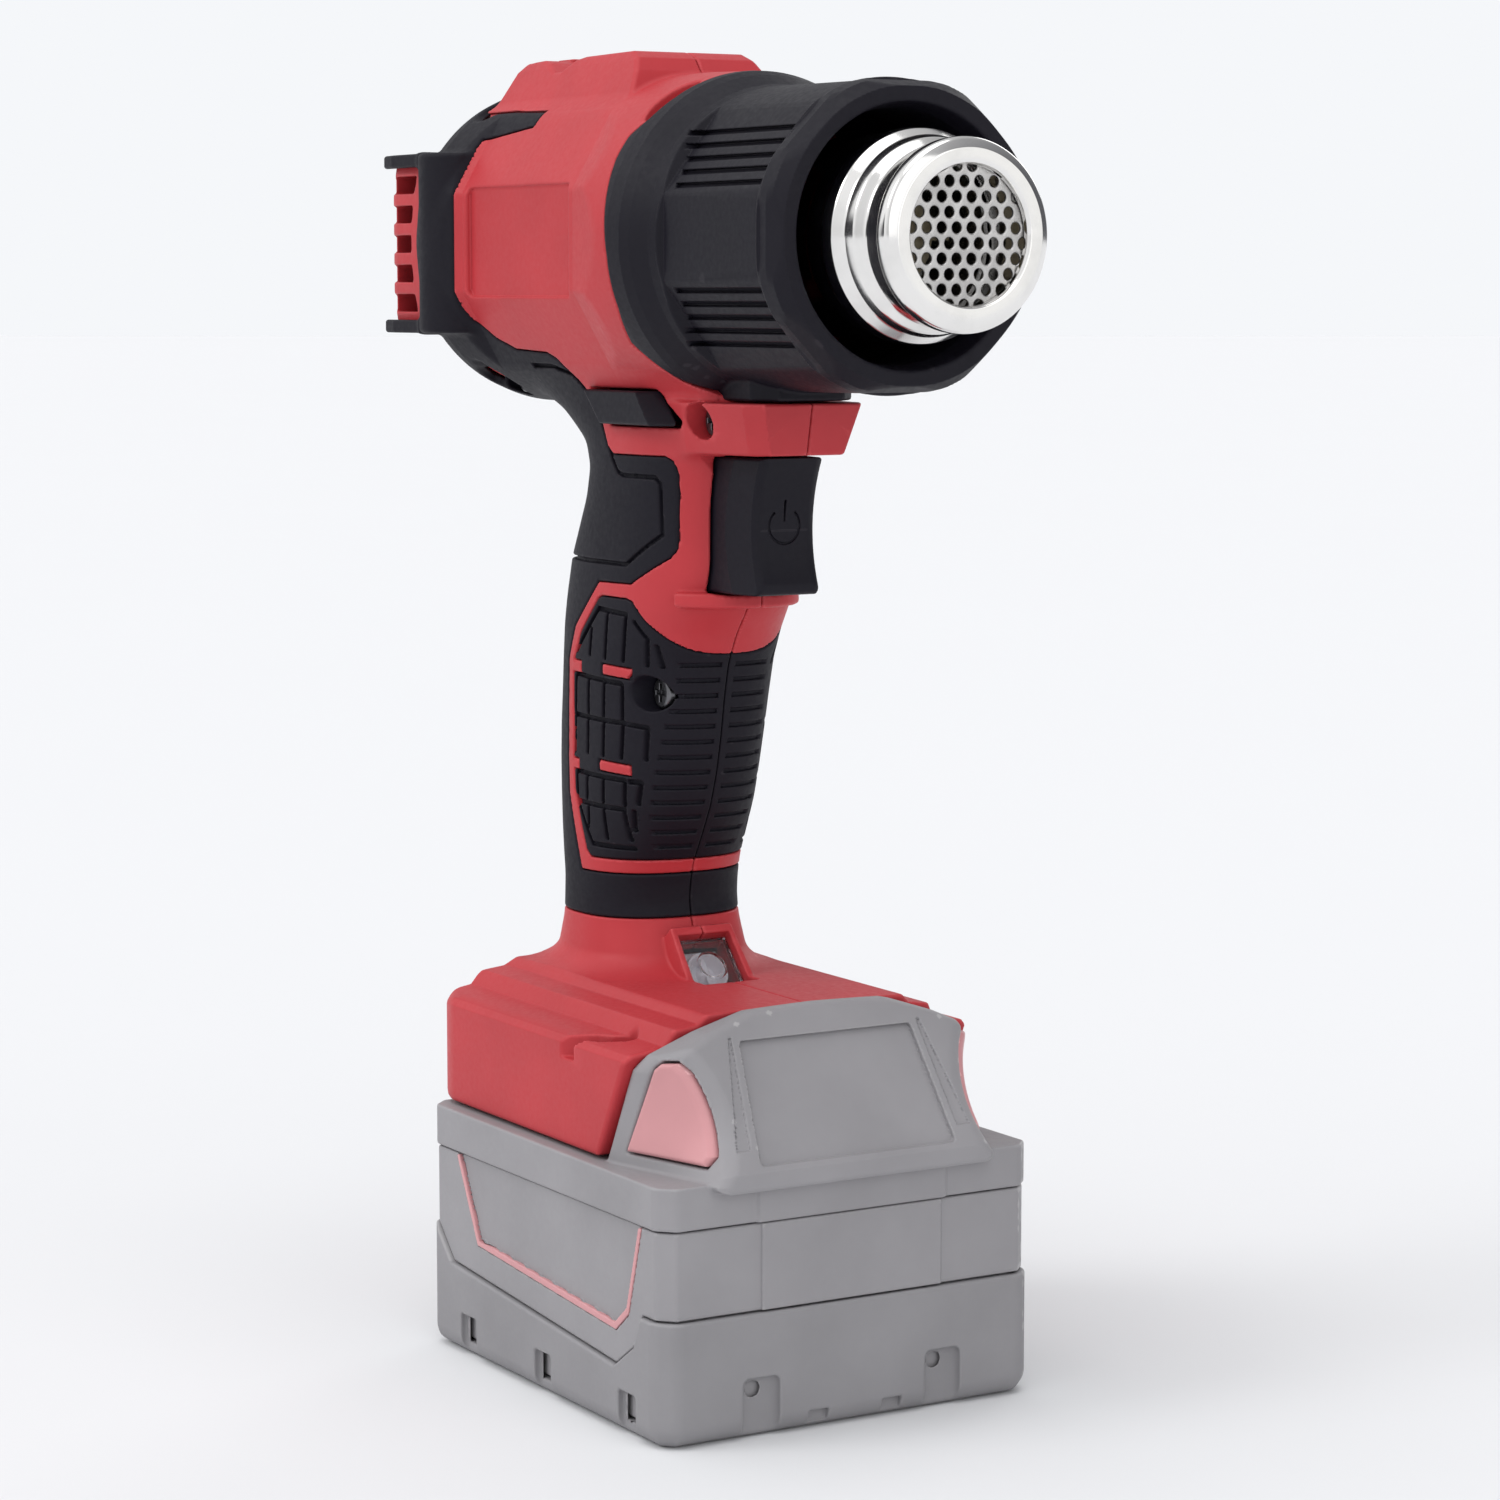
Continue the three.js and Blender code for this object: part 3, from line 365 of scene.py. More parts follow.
# The handle's sections from its foot up: height, rear x, front x, half-width.
HANDLE = np.array([
    (60, -49, 2, 18.2), (72, -47.6, -3.4, 17.6), (78, -46.4, -6.2, 17.3), (82, -44.8, -8.2, 16.9),
    (86, -42.9, -10.4, 16.6), (90, -42.4, -11.3, 16.6), (94, -42.3, -10.9, 16.6), (98, -43.1, -9.7, 16.7),
    (104, -44.5, -6.2, 16.8), (110, -45.4, -3, 16.9), (117, -45.9, -0.6, 17), (124, -45.4, 1, 17.3),
    (131, -44.2, 2.2, 17.7), (138, -43.4, 3.8, 18), (144, -43.4, 7, 18), (149, -43.3, 11, 17.8),
    (157, -41.6, 13.6, 17.5), (163, -38.2, 13.6, 17.4), (169, -34.8, 13.6, 17.3), (175, -33.4, 14.6, 17.2),
    (180, -35.8, 19, 17.4), (184, -43, 22, 17.5), (188, -51, 24, 17.6), (194, -56, 26, 17.8),
    (204, -58, 27, 18),
])
SQUARENESS = 2.4  # 2 would make each section an ellipse
SMOOTH_Z = np.linspace(HANDLE[0, 0], HANDLE[-1, 0], 289)


def smoothed(column):
    """A column of the handle table at every half millimetre, with its corners softened."""
    dense = np.interp(SMOOTH_Z, HANDLE[:, 0], HANDLE[:, column])
    width = 9
    kernel = np.hanning(width + 2)[1:-1]
    padded = np.pad(dense, width // 2, mode="edge")
    return np.convolve(padded, kernel / kernel.sum(), mode="valid")


HANDLE_TABLES = smoothed(1), smoothed(2), smoothed(3)


def handle(x, y, z, inset=0.0):
    rear, front, half = (np.interp(z, SMOOTH_Z, table) for table in HANDLE_TABLES)
    reach = (front - rear) / 2
    u = np.abs(x - (rear + front) / 2)
    v = np.abs(y)
    n = SQUARENESS
    size = np.maximum((u / reach) ** n + (v / half) ** n, 1e-4)
    ring = size ** (1 / n)
    steep = size ** (1 / n - 1) * np.hypot(u ** (n - 1) / reach**n, v ** (n - 1) / half**n)
    sides = (ring - 1) / np.maximum(steep, 0.02) * 0.95 + inset
    flat = both(HANDLE_FRONT_X - inset - x, span(z, 150.5, 179), 0)
    return all_of(0, sides, span(z, HANDLE[0, 0], HANDLE[-1, 0]), -both(flat, -sides - 40))


FOOT_SIDE = [
    (FOOT_X, FOOT_Z), (19.5, FOOT_Z), (30.5, 69.5), (32.6, 76.6), (-44, 76.6), (-47.6, 73), (FOOT_X, 70),
]
FOOT_FRONT = mirrored([
    (FOOT_HALF, FOOT_Z), (FOOT_HALF, 68.4), (FOOT_HALF - 1.2, 69.6), (29.8, 70.8), (28, 73.8),
    (23.4, 74.5), (21.4, 76.4), (12, 76.9),
])


def foot(x, y, z, inset=0.0):
    sheath = both(inside(FOOT_SIDE, x, z) + inset, inside(FOOT_FRONT, y, z) + inset, 1.0)
    rear_corner = (np.abs(y) - FOOT_HALF + (FOOT_X + 5 - x) * 0.7) * 0.82 + inset
    return both(sheath, rear_corner, 2.5)


def chin(x, y, z, inset=0.0):
    """The nose over the trigger: a blunt V in plan that draws in downwards."""
    plan = [
        (34.3, -10.5), (34.3, 10.5), (30.5, 13), (14, 16.4), (0, 16.4), (0, -16.4), (14, -16.4), (30.5, -13),
    ]
    down = np.maximum(0, 188.3 - z)
    drawn = inside(plan, x + down * 0.2, np.abs(y) + down * 0.28) * 0.95
    return all_of(0.6, drawn, 178.6 - z, z - 188.3) + inset


HUMP_SIDE = [
    (-61, 243), (-58.6, 247.4), (-56.4, 252.2), (-54, 253.8), (-47.5, 254.2), (-44.5, 253.4),
    (-40.6, 251.4), (-37.6, 251.4), (-33.6, 253.6), (-30, 254.1), (-11.6, 254.4), (-8.4, 252.9),
    (-6.3, 250.2), (-3, 243),
]
HUMP_FRONT = mirrored([(-18.4, 242), (-13.4, 252.2), (-12, 254.4)])


def humps(x, y, z):
    """Two low humps on top of the barrel."""
    ridge = both(inside(HUMP_SIDE, x, z), inside(HUMP_FRONT, y, z), 0.7)
    pad = block(x, y, z, (-52.4, -46), (-6.4, 6.4), (250, 254.5), 0.2)
    return either(ridge, pad, 0.2)


def trigger_shelf(x, y, z, inset):
    """The ledge around the bottom of the trigger."""
    return all_of(0.8, rod(x, y, 1.8, 0, 14.4), span(z, 149.4, 152.3), 6 - x) + inset


def body(x, y, z, inset=0.0):
    trunk = either(head(x, y, z, inset), handle(x, y, z, inset), 4)
    trunk = either(trunk, chin(x, y, z, inset), 2.2)
    trunk = either(trunk, trigger_shelf(x, y, z, inset), 0.7)
    return either(trunk, foot(x, y, z, inset), 6)


# ---------- where the red plastic, the rubber and the guard meet, seen from the side ----------
GUARD_EDGE = [
    (14.2, 262), (14.2, 249.5), (13.6, 244.5), (12.6, 240.6), (9.8, 237.2), (9.6, 233), (11.2, 222),
    (12.2, 215), (12, 205.9), (10.2, 199.3), (15, 192.6), (22, 188.6),
    (FAR, 188.6), (FAR, 262),
]
REAR_EDGE = [
    (REAR_X - 40, 262), (-61, 262), (-61, 244), (-48, 244), (-33.2, 243.4), (-34.5, 240.4),
    (-52.4, 238.4), (-52.9, 236.6), (-52.9, 205.6), (-52, 203.2), (-46.75, 199.6), (-40.75, 197.6),
    (-28.6, 197.1), (-25.6, 195.9), (-21, 191.8), (-14.6, 184), (-12.6, 179.4), (-10.6, 178),
    (6, 178), (7.4, 177.1), (7.8, 175.2), (6.9, 160.5),
    (5.3, 158.6), (-4.8, 153.2), (-15.9, 153.1), (-25.4, 144), (-28.6, 137.4), (-30.4, 118),
    (-30.2, 111), (-25.1, 96), (30, 96), (30, 87), (-FAR, 87), (-FAR, 262),
]
GRIP_EDGE = [
    (-4.4, 150), (-6, 150.5), (-14.6, 150.6), (-16, 150.1), (-22.9, 143), (-26.2, 137), (-27.8, 118),
    (-27.5, 111.6), (-23.2, 99.9), (-21.8, 98.7), (20, 98.7), (20, 138.8), (7.5, 138.8), (5.5, 139.4),
    (3.6, 140.8), (1.7, 142.9), (-1.4, 146.2),
]


def guard_zone(x, y, z):
    return inside(GUARD_EDGE, x, z)


def rear_zone(x, y, z):
    return inside(REAR_EDGE, x, z)


RED_DASHES = [
    [(-14.6, 135.3), (-6.8, 134.8), (-6.6, 136.8), (-14.4, 137.3)],
    [(-17.7, 116.3), (-9.4, 115.8), (-9.2, 117.8), (-17.5, 118.3)],
    [(-29, 135.2), (-22.9, 134.9), (-22.7, 137.2), (-29, 137.4)],
    [(-30, 115.9), (-25.6, 115.7), (-25.5, 117.7), (-30, 117.9)],
]


def grip_zone(x, y, z):
    zone = inside(GRIP_EDGE, x, z)
    for dash in RED_DASHES:
        zone = without(zone, inside(dash, x, z), 0.2)
    return zone


# ---------- screws and openings shared by several pieces ----------
SCREW_R = 3.0
WELL_R = SCREW_R + 0.45
# Place in x and z, distance of the seat from the parting plane, and the side it goes in from.
SCREWS = {
    "screw_chin": (17.5, 184.9, 9.2, -1), "screw_grip": (-3.8, 132.2, 8.4, -1),
    "screw_neck": (-30, 81, 9.5, 1), "screw_rear_low": (-60, 191.6, 8.0, -1),
    "screw_rear_top": (-60, 245, 8.5, 1), "screw_foot": (-40, 66.4, 29.0, 1),
}
# The rubber lines these wells. The first is in the grip's rubber, the others in the rear's.
LINED_WELLS = ("screw_grip", "screw_rear_low", "screw_rear_top")


def screw_wells(x, y, z, names=tuple(SCREWS), grow=0.0):
    """Counterbores down to the screw heads."""
    wells = []
    for name in names:
        sx, sz, seat, side = SCREWS[name]
        wells.append(both(rod(x, z, sx, sz, WELL_R + grow), seat - grow * 0.4 - side * y))
    return any_of(0, *wells)


def screw_form(place):
    """A round-headed screw with a cross slot."""
    sx, sz, seat, side = place
    under = seat + 0.3

    def form(x, y, z):
        out = side * y
        u, v = np.abs(x - sx), np.abs(z - sz)
        head = all_of(0.6, rod(x, z, sx, sz, SCREW_R), span(out, under, under + 2.1))
        cross = either(both(u - 0.45, v - 1.8), both(v - 0.45, u - 1.8))
        head = without(head, both(cross, under + 0.9 - out), 0.15)
        return either(head, both(rod(x, z, sx, sz, 1.4), span(out, -9.3, under + 0.5)), 0.2)

    return form


def screw_bosses(x, z):
    return any_of(0, *[rod(x, z, place[0], place[1], SCREW_R + 2) for place in SCREWS.values()])


LOCK_SIDE = [(-10.8, 183.7), (11.4, 183.7), (12.4, 184.6), (6, 190.2), (-17.4, 190.2)]


def lock_slot(x, y, z):
    return inside(LOCK_SIDE, x, z) - 0.35


def trigger_slot(x, y, z):
    low, high = TRIGGER_Z
    return block(x, y, z, (HANDLE_FRONT_X - 10, FAR), (-8.4, 8.4), (low - 0.4, high + 0.3), 0.6)


LED_TOP, LED_BOTTOM = (-7.9, 83), (0.9, 72.6)


def led_axes(x, z):
    """Distance down the sloping window, distance out of its plane, and its length."""
    length = math.dist(LED_TOP, LED_BOTTOM)
    ux, uz = (LED_BOTTOM[0] - LED_TOP[0]) / length, (LED_BOTTOM[1] - LED_TOP[1]) / length
    along = (x - LED_TOP[0]) * ux + (z - LED_TOP[1]) * uz
    out = -(x - LED_TOP[0]) * uz + (z - LED_TOP[1]) * ux
    return along, out, length


def led_frame(x, y, z):
    along, out, length = led_axes(x, z)
    flare = np.abs(y) - 6.9 - along * 0.05
    return all_of(0.4, flare, span(along, -1.7, length + 1.6), span(out, -4, 2.5))


def led_window(x, y, z):
    along, out, length = led_axes(x, z)
    return all_of(0.3, np.abs(y) - 5.7 - along * 0.03, span(along, 0.2, length - 0.2), span(out, -6.3, 6))


def intake_form(x, y, z, inset):
    up = np.abs(z - AXIS_Z)
    sides = np.abs(y) - 30.6 + up * up / 130 + inset
    return both(sides, up - (LIP_Z - 0.8 - inset), 0.5)


# ---------- the red housing ----------
def side_panel(x, y, z):
    """The shallow blank panel on each side of the barrel."""
    frame_in = block(x, y, z, (-49.4, -7.2), (-FAR, FAR), (207.9, 228.8), 1.4)
    return both(frame_in, 27.5 - np.abs(y))


def lens_recess(x, y, z):
    """The lens-shaped hollow in the red plastic beside the guard's top edge."""
    angle = np.arctan2(np.abs(y), z - AXIS_Z)
    arc = (angle - math.radians(33)) * HEAD_R
    oval = (np.hypot((x - 11.6) / 2.7, arc / 7) - 1) * 2.7
    return both(oval, HEAD_R - 2.6 - np.hypot(y, z - AXIS_Z), 0.5)


def foot_channel(x, y, z):
    """The curved gutter in the foot's ledge, on each side."""
    route = [(6.5, 39), (9.5, 36), (12, 34.3), (15.5, 33.2), (19, 30.6)]
    return both(lines(x, np.abs(y), route, 3.4), 65.6 - z, 0.5)


def rails_bay(x, y, z):
    """The space under the foot for the pack's rails."""
    outline = mirrored([(32, FOOT_Z - 5), (32, 50), (26.6, 50), (26.6, 55), (32, 55), (32, 62.5)])
    return both(inside(outline, y, z), -44.5 - x)


def housing(x, y, z):
    outer = body(x, y, z)
    outer = either(outer, humps(x, y, z), 0.8)
    outer = either(outer, led_frame(x, y, z), 0.5)
    skin_bed = both(body(x, y, z, SKIN + 0.3) * -1, either(rear_zone(x, y, z), grip_zone(x, y, z)), 0.1)
    hollow = without(both(body(x, y, z, WALL), 60 - z), screw_bosses(x, z))
    return carved(
        outer,
        (side_panel(x, y, z), 0.7), (lens_recess(x, y, z), 0.5), (foot_channel(x, y, z), 0.4),
        (without(skin_bed, humps(x, y, z)), 0.35), (guard_zone(x, y, z), 0.35), (hollow, 0),
        (screw_wells(x, y, z), 0.3), (screw_wells(x, y, z, LINED_WELLS, 1.3), 0),
        (lock_slot(x, y, z), 0.4), (trigger_slot(x, y, z), 0.5),
        (led_window(x, y, z), 0.3), (rails_bay(x, y, z), 0.3),
        (both(intake_form(x, y, z, -0.3), x - REAR_X - 6), 0),
    )


def side_of(form, side):
    """What a form has on one side of the parting plane."""
    return lambda x, y, z: both(form(x, y, z), -side * y)


def half_of(form, side):
    """The left or the right half of a form, with a fine rounded edge where they meet."""
    return lambda x, y, z: both(form(x, y, z), SPLIT - side * y, 0.3)


# ---------- the rubber ----------
# The grooves around the palm pad.
PAD_LINE = [
    (-19.6, 157), (-6, 157), (3.8, 163), (3.8, 172.8), (2.6, 173.9), (-7, 174), (-9, 174.6),
    (-10.8, 176.8), (-15.8, 185.8), (-22.8, 193), (-29, 194.4), (-37, 194.5),
]
PAD_BACK = [(-19.6, 157), (-60, 157)]


def lips(x, y, z):
    """The two bumper lips behind the air intake."""
    inner_x = REAR_X + 3
    outline = [
        (inner_x, 0), (inner_x, 31.4), (-77, 31.4), (-82.6, 30.4), (-84.8, 28.8), (LIP_X, 27), (LIP_X, 0),
    ]
    plan = both(inside(outline, x, np.abs(y)), np.abs(y) - 60)
    return both(plan, np.abs(np.abs(z - AXIS_Z) - LIP_Z) - 1.3, 0.5)


def intake_collar(x, y, z):
    """The swelling of rubber that joins the two lips beside the intake."""
    tall = np.abs(z - AXIS_Z) - LIP_Z - 1.3
    bulge = (np.hypot((np.abs(y) - 24) / 8.6, (x + 60.6) / 8.2) - 1) * 8.2
    return both(bulge, tall, 1.0)


def bumper_recess(x, y, z):
    """Lens-shaped hollows above and below, where the rear screws sit."""
    up = np.abs(z - AXIS_Z)
    oval = (np.hypot((x + 61) / 6, (up - 27.6) / 3.4) - 1) * 3
    return both(oval, 12.6 - np.abs(y), 1.2)


def rubber_skin(x, y, z, zone, wells):
    """A layer of rubber over one zone of the housing, with the linings of some screw wells."""
    skin = without(body(x, y, z), body(x, y, z, SKIN), 0)
    return both(skin, zone(x, y, z) + SEAM, 0.45), both(screw_wells(x, y, z, wells, 1.2), body(x, y, z, 0.4))


def rear_rubber(x, y, z):
    skin, linings = rubber_skin(x, y, z, rear_zone, LINED_WELLS[1:])
    skin = either(skin, linings, 0)
    skin = either(skin, lips(x, y, z), 0.9)
    skin = either(skin, both(intake_collar(x, y, z), rear_zone(x, y, z) + SEAM, 0.5), 1.2)
    groove = either(lines(x, z, PAD_LINE, 0.75), lines(x, z, PAD_BACK, 0.75))
    groove = both(groove, -body(x, y, z, 0.9), 0)
    return carved(
        skin,
        (groove, 0.3), (humps(x, y, z) - 0.3, 0), (screw_wells(x, y, z), 0.5), (lock_slot(x, y, z), 0.4),
        (both(intake_form(x, y, z, -0.4), x - REAR_X - 6), 0.3), (bumper_recess(x, y, z), 0.5),
    )


GRIP_LINES = [
    [(-24.4, 139.2), (-15.6, 148), (-6.2, 147.4)],
    [(-4.2, 146), (-2, 142.9), (-3.2, 137.8)],
    [(-18.2, 143.8), (-19, 138.9)],
    [(-12.3, 147), (-13.5, 138.6)],
    [(-6.4, 147), (-8.3, 138.4)],
    [(-0.6, 141.4), (-0.8, 137.6)],
    [(-9.3, 133.8), (-24.9, 134.7), (-26, 127), (-26.9, 119.2)],
    [(-19.8, 134.3), (-20.6, 127.4)],
    [(-14.2, 134), (-15.2, 127.2)],
    [(-9.1, 133.6), (-9.9, 126.8)],
    [(-26, 126.6), (-9.9, 126.1), (-4.9, 125.5), (-6, 119.3)],
    [(-20.9, 125.6), (-21.6, 119.5)],
    [(-15.4, 125.4), (-16.2, 119.4)],
    [(-10, 125.2), (-11.1, 119.3)],
    [(-26.2, 109.8), (-26.4, 115.4), (-10.9, 114.8)],
    [(-9.8, 114.6), (-7.6, 114.6), (-8.8, 110.4)],
    [(-22.2, 114.6), (-22.4, 110.4)],
    [(-16.6, 114.5), (-16.9, 110.2)],
    [(-10.9, 114.4), (-11.5, 110)],
    [(-11.7, 109), (-26, 109.5), (-21, 101.5), (-12.1, 101.2)],
    [(-22, 108.6), (-22, 105)],
    [(-17, 108.6), (-16.7, 103)],
    [(-11.9, 108.8), (-12, 103)],
    [(-9.9, 108.6), (-10.8, 105)],
]
RIB_Z = [101.6 + 3.02 * i for i in range(13)]  # heights of the ribs across the grip's front


def grip_grooves(x, y, z):
    lines_in = any_of(0, *[lines(x, z, route, 0.95) for route in GRIP_LINES])
    lines_in = both(lines_in, 8 - np.abs(y))
    near_rib = np.min([np.abs(z - rib) for rib in RIB_Z], axis=0) - 0.38
    rib_start = -9.4 + (z - 102) * 0.3 - x
    ribs = all_of(0, near_rib, rib_start, 1.5 - np.abs(y), span(z, 100, 139))
    lines_in = both(lines_in, -body(x, y, z, 1.0))
    return either(lines_in, both(ribs, -body(x, y, z, 0.6)))


def grip_rubber(x, y, z):
    skin, linings = rubber_skin(x, y, z, grip_zone, LINED_WELLS[:1])
    skin = either(without(skin, grip_grooves(x, y, z), 0.25), linings, 0)
    return without(skin, screw_wells(x, y, z), 0.5)


# ---------- the nozzle end ----------
GUARD_PROFILE = [
    (0, 0), (0, 31.4), (13, 31.4), (17, 31.1), (19.2, 30.3), (23, 28.4), (25, 28), (58.8, 27.7),
    (60.8, 28.4), (64.6, 28.1), (GUARD_FRONT_X, 26.3), (GUARD_FRONT_X, 0),
]
WINDOW_X = (26.0, 59.4)
GROOVE_HEIGHTS = (9.4, 11.8, 14.2, 16.6, 19.0)


def window_reach(y, z):
    """Distance from the axis towards the facets above and below the side."""
    return np.abs(y) * 0.8 + np.abs(z - AXIS_Z) * 0.6


def guard_form(x, y, z):
    """The guard's outside: a round sleeve with flat sides, and a flared ring with eight flats."""
    up, across = np.abs(z - AXIS_Z), np.abs(y)
    form = inside(GUARD_PROFILE, x, np.hypot(y, z - AXIS_Z))
    beyond = np.maximum(0, np.maximum(WINDOW_X[0] - x, x - WINDOW_X[1])) * 1.6
    form = both(form, (across - 26.7 - beyond) * 0.6, 0.2)
    form = both(form, (window_reach(y, z) - 26.1 - beyond) * 0.6, 0.2)
    octagon = np.maximum(np.maximum(up, across), (up + across) * math.sqrt(0.5))
    relief = np.maximum(0, 60.6 - x) * 1.4
    return both(form, (octagon - 27.4 + np.maximum(0, x - 63) * 0.3 - relief) * 0.65, 0.3)


def guard_grooves(x, y, z):
    """Fine level grooves in the facets, above and below the flat sides."""
    up = np.abs(z - AXIS_Z)
    nearest = np.min([np.abs(up - height) for height in GROOVE_HEIGHTS], axis=0) - 0.42
    start = WINDOW_X[0] + 2 - (up - GROOVE_HEIGHTS[0]) * 0.4
    lane = all_of(0, nearest, start - x, x - WINDOW_X[1] + 0.8)
    return both(lane, 25.1 - window_reach(y, z))


def guard_block(x, y, z):
    plan = [(10, -11), (30, -11), (34, -7), (34, 7), (30, 11), (10, 11)]
    return both(inside(plan, x, y), span(z, 188.7, 196), 0.5)


def guard_bore(x, y, z):
    radius = np.hypot(y, z - AXIS_Z)
    outline = [
        (-80, 0), (-80, 27.4), (16, 27.4), (20.6, 24.2), (44, 24.2), (47, GUARD_BORE_R + 0.3),
        (62, GUARD_BORE_R + 0.3), (66.4, 23.4), (90, 23.6), (90, 0),
    ]
    return inside(outline, x, radius)


def nozzle_guard(x, y, z):
    form = both(guard_form(x, y, z), guard_zone(x, y, z) + 0.22, 0.5)
    form = either(form, both(guard_block(x, y, z), 24 - np.hypot(y, z - AXIS_Z)), 0.6)
    form = without(form, guard_grooves(x, y, z), 0.25)
    return without(form, guard_bore(x, y, z), 0.7)


# A profile of x and radius. The third value is the radius of the round at that corner.
NOZZLE_PROFILE = [
    (50, 18.3, 0), (66, 18.3, 0.6), (67.4, 18.95, 1.2), (70.6, 18.9, 1.4), (72.6, 17.5, 1.6),
    (75, 17.1, 1.2), (76.4, 15.6, 1.4), (80.6, 15.4, 1.2), (81.9, 16.9, 1.1), (84.6, 16.9, 1.3),
    (TIP_X, 15, 0.7), (TIP_X, 12.5, 0.4), (85.1, 12.1, 0.4), (84, 12.1, 0.3), (84, 14.1, 0.2),
    (75.4, 14.2, 0.8), (73.6, 16.1, 1), (67.4, 17.3, 1), (50, 17.3, 0),
]


def rounded_outline(points, steps=5):
    """A closed outline with each corner replaced by an arc of its own radius."""
    result = []
    count = len(points)
    for i, (u, v, radius) in enumerate(points):
        here = Vector((u, v))
        before = Vector(points[i - 1][:2]) - here
        after = Vector(points[(i + 1) % count][:2]) - here
        if radius <= 0:
            result.append((u, v))
            continue
        half = before.angle(after) / 2
        reach = min(radius / math.tan(half), 0.48 * before.length, 0.48 * after.length)
        start, end = here + before.normalized() * reach, here + after.normalized() * reach
        for k in range(steps + 1):
            t = k / steps
            bend = start.lerp(here, t).lerp(here.lerp(end, t), t)
            result.append((bend.x, bend.y))
    return result


def turned(name, outline, segments=128):
    """A closed outline of x and radius, turned about the barrel's axis."""
    ring = len(outline)
    angles = np.arange(segments) * (2 * math.pi / segments)
    profile = np.array(outline, np.float32)
    x = np.repeat(profile[None, :, 0], segments, 0)
    y = np.sin(angles)[:, None] * profile[None, :, 1]
    z = AXIS_Z + np.cos(angles)[:, None] * profile[None, :, 1]
    points = np.stack([x, y, z], -1).reshape(-1, 3)
    i = np.arange(segments)[:, None]
    j = np.arange(ring)[None, :]

    def corner(a, b):
        return ((a % segments) * ring + b % ring).ravel()

    polygons = np.stack([corner(i, j), corner(i, j + 1), corner(i + 1, j + 1), corner(i + 1, j)], 1)
    return object_of(name, points * MM, polygons)


SCREEN_PITCH = 3.07


def outlet_screen(x, y, z):
    """The perforated disc inside the nozzle's mouth, with a soft edge around each hole."""
    disc = both(np.hypot(y, z - AXIS_Z) - 13.9, span(x, 83, 83.8), 0.15)
    row_height = SCREEN_PITCH * math.sqrt(0.75)
    row = np.round((z - AXIS_Z) / row_height + 0.5)
    shift = np.where(row % 2 == 0, 0, SCREEN_PITCH / 2)
    hole_y = np.round((y - shift) / SCREEN_PITCH) * SCREEN_PITCH + shift
    hole_z = AXIS_Z + (row - 0.5) * row_height
    rim = np.hypot(hole_y, hole_z - AXIS_Z) - 12.6
    holes = both(np.hypot(y - hole_y, z - hole_z) - 0.98, rim)
    return without(disc, holes, 0.35)


# ---------- intake and controls ----------
def intake_grille(x, y, z):
    across = np.abs(y)
    outline = [(-60, 0), (-60, 40), (-76.5, 31), (-80, 29.6), (-81.75, 27), (-81.75, 0)]
    back = inside(outline, x, across)
    shell = all_of(0.5, intake_form(x, y, z, 0), back, x + 63.6)
    inner = all_of(0.5, intake_form(x, y, z, 2), back + 2, x + 60)
    slots = [np.abs(z - AXIS_Z - 5.9 * i) - 1.75 for i in range(-2, 3)]
    slot = all_of(0.7, any_of(0, *slots), span(x, -80.4, -70.2), 14.5 - across)
    return without(without(shell, inner), slot, 0.3)


TRIGGER_WAIST = (24.1, 164.5)  # the furthest back and the height of the hollow in its front
SYMBOL_Z = 165.4
SYMBOL_R = 3.3
STEM_Z = 165.5


def power_symbol(y, z):
    """A generic power symbol: a ring with a gap at its top and a short upright line in the gap."""
    angle = np.abs(np.arctan2(y, z - SYMBOL_Z))
    radius = np.hypot(y, z - SYMBOL_Z)
    gap = math.radians(40)
    ring = both(np.abs(radius - SYMBOL_R) - 0.22, (gap - angle) * SYMBOL_R)
    return either(ring, capsule(y, z, (0, SYMBOL_Z + 1), (0, SYMBOL_Z + 4.6), 0.22))


def trigger(x, y, z):
    """A hollow-fronted paddle with a stem for the spring on its back."""
    across = np.abs(y)
    stem = np.hypot(y, z - STEM_Z)
    up = z - TRIGGER_WAIST[1]
    front = (x - TRIGGER_WAIST[0] - 0.0185 * up * up) * 0.93
    side = all_of(0.3, both(front, TRIGGER_Z[0] - z, 2.4), 6 - x, z - TRIGGER_Z[1])
    cheeks = both(across - 8, (across - 6.8) * 0.98 + (front + 1.2) * 0.19)
    paddle = both(side, both(cheeks, (across - 6 + front) * 0.7), 0.7)
    face = carved(paddle, (both(power_symbol(y, z), 23.8 - x), 0.12), (both(stem - 5.6, x - 18), 0.2))
    return either(face, both(stem - 2, span(x, -4.5, 19)), 0.4)


def lock_bar(x, y, z):
    """A bar across the handle with a head at each end."""
    across = np.abs(y)
    side = inside(LOCK_SIDE, x, z) + 0.05
    nose = (across - 20.3 + np.maximum(0, x - 3.2 - (190.2 - z) * 0.85) * 1.15) * 0.66
    heads = all_of(0.5, side, nose, 15.9 - across)
    stem = block(x, y, z, (-8, 4), (-17, 17), (184.4, 188.4), 0.3)
    return either(heads, stem, 0.3)


def lens_form(x, y, z):
    """A clear cover with a shallow ring moulded into its front."""
    along, out, length = led_axes(x, z)
    edge = np.abs(y) - 5.4 - along * 0.03
    cover = all_of(0.4, edge, span(along, 0.5, length - 0.5), span(out, -1.3, 0.9))
    ring = both(np.abs(np.hypot(y, along - length / 2) - 2.7) - 0.3, 0.55 - out)
    return without(cover, ring, 0.3)


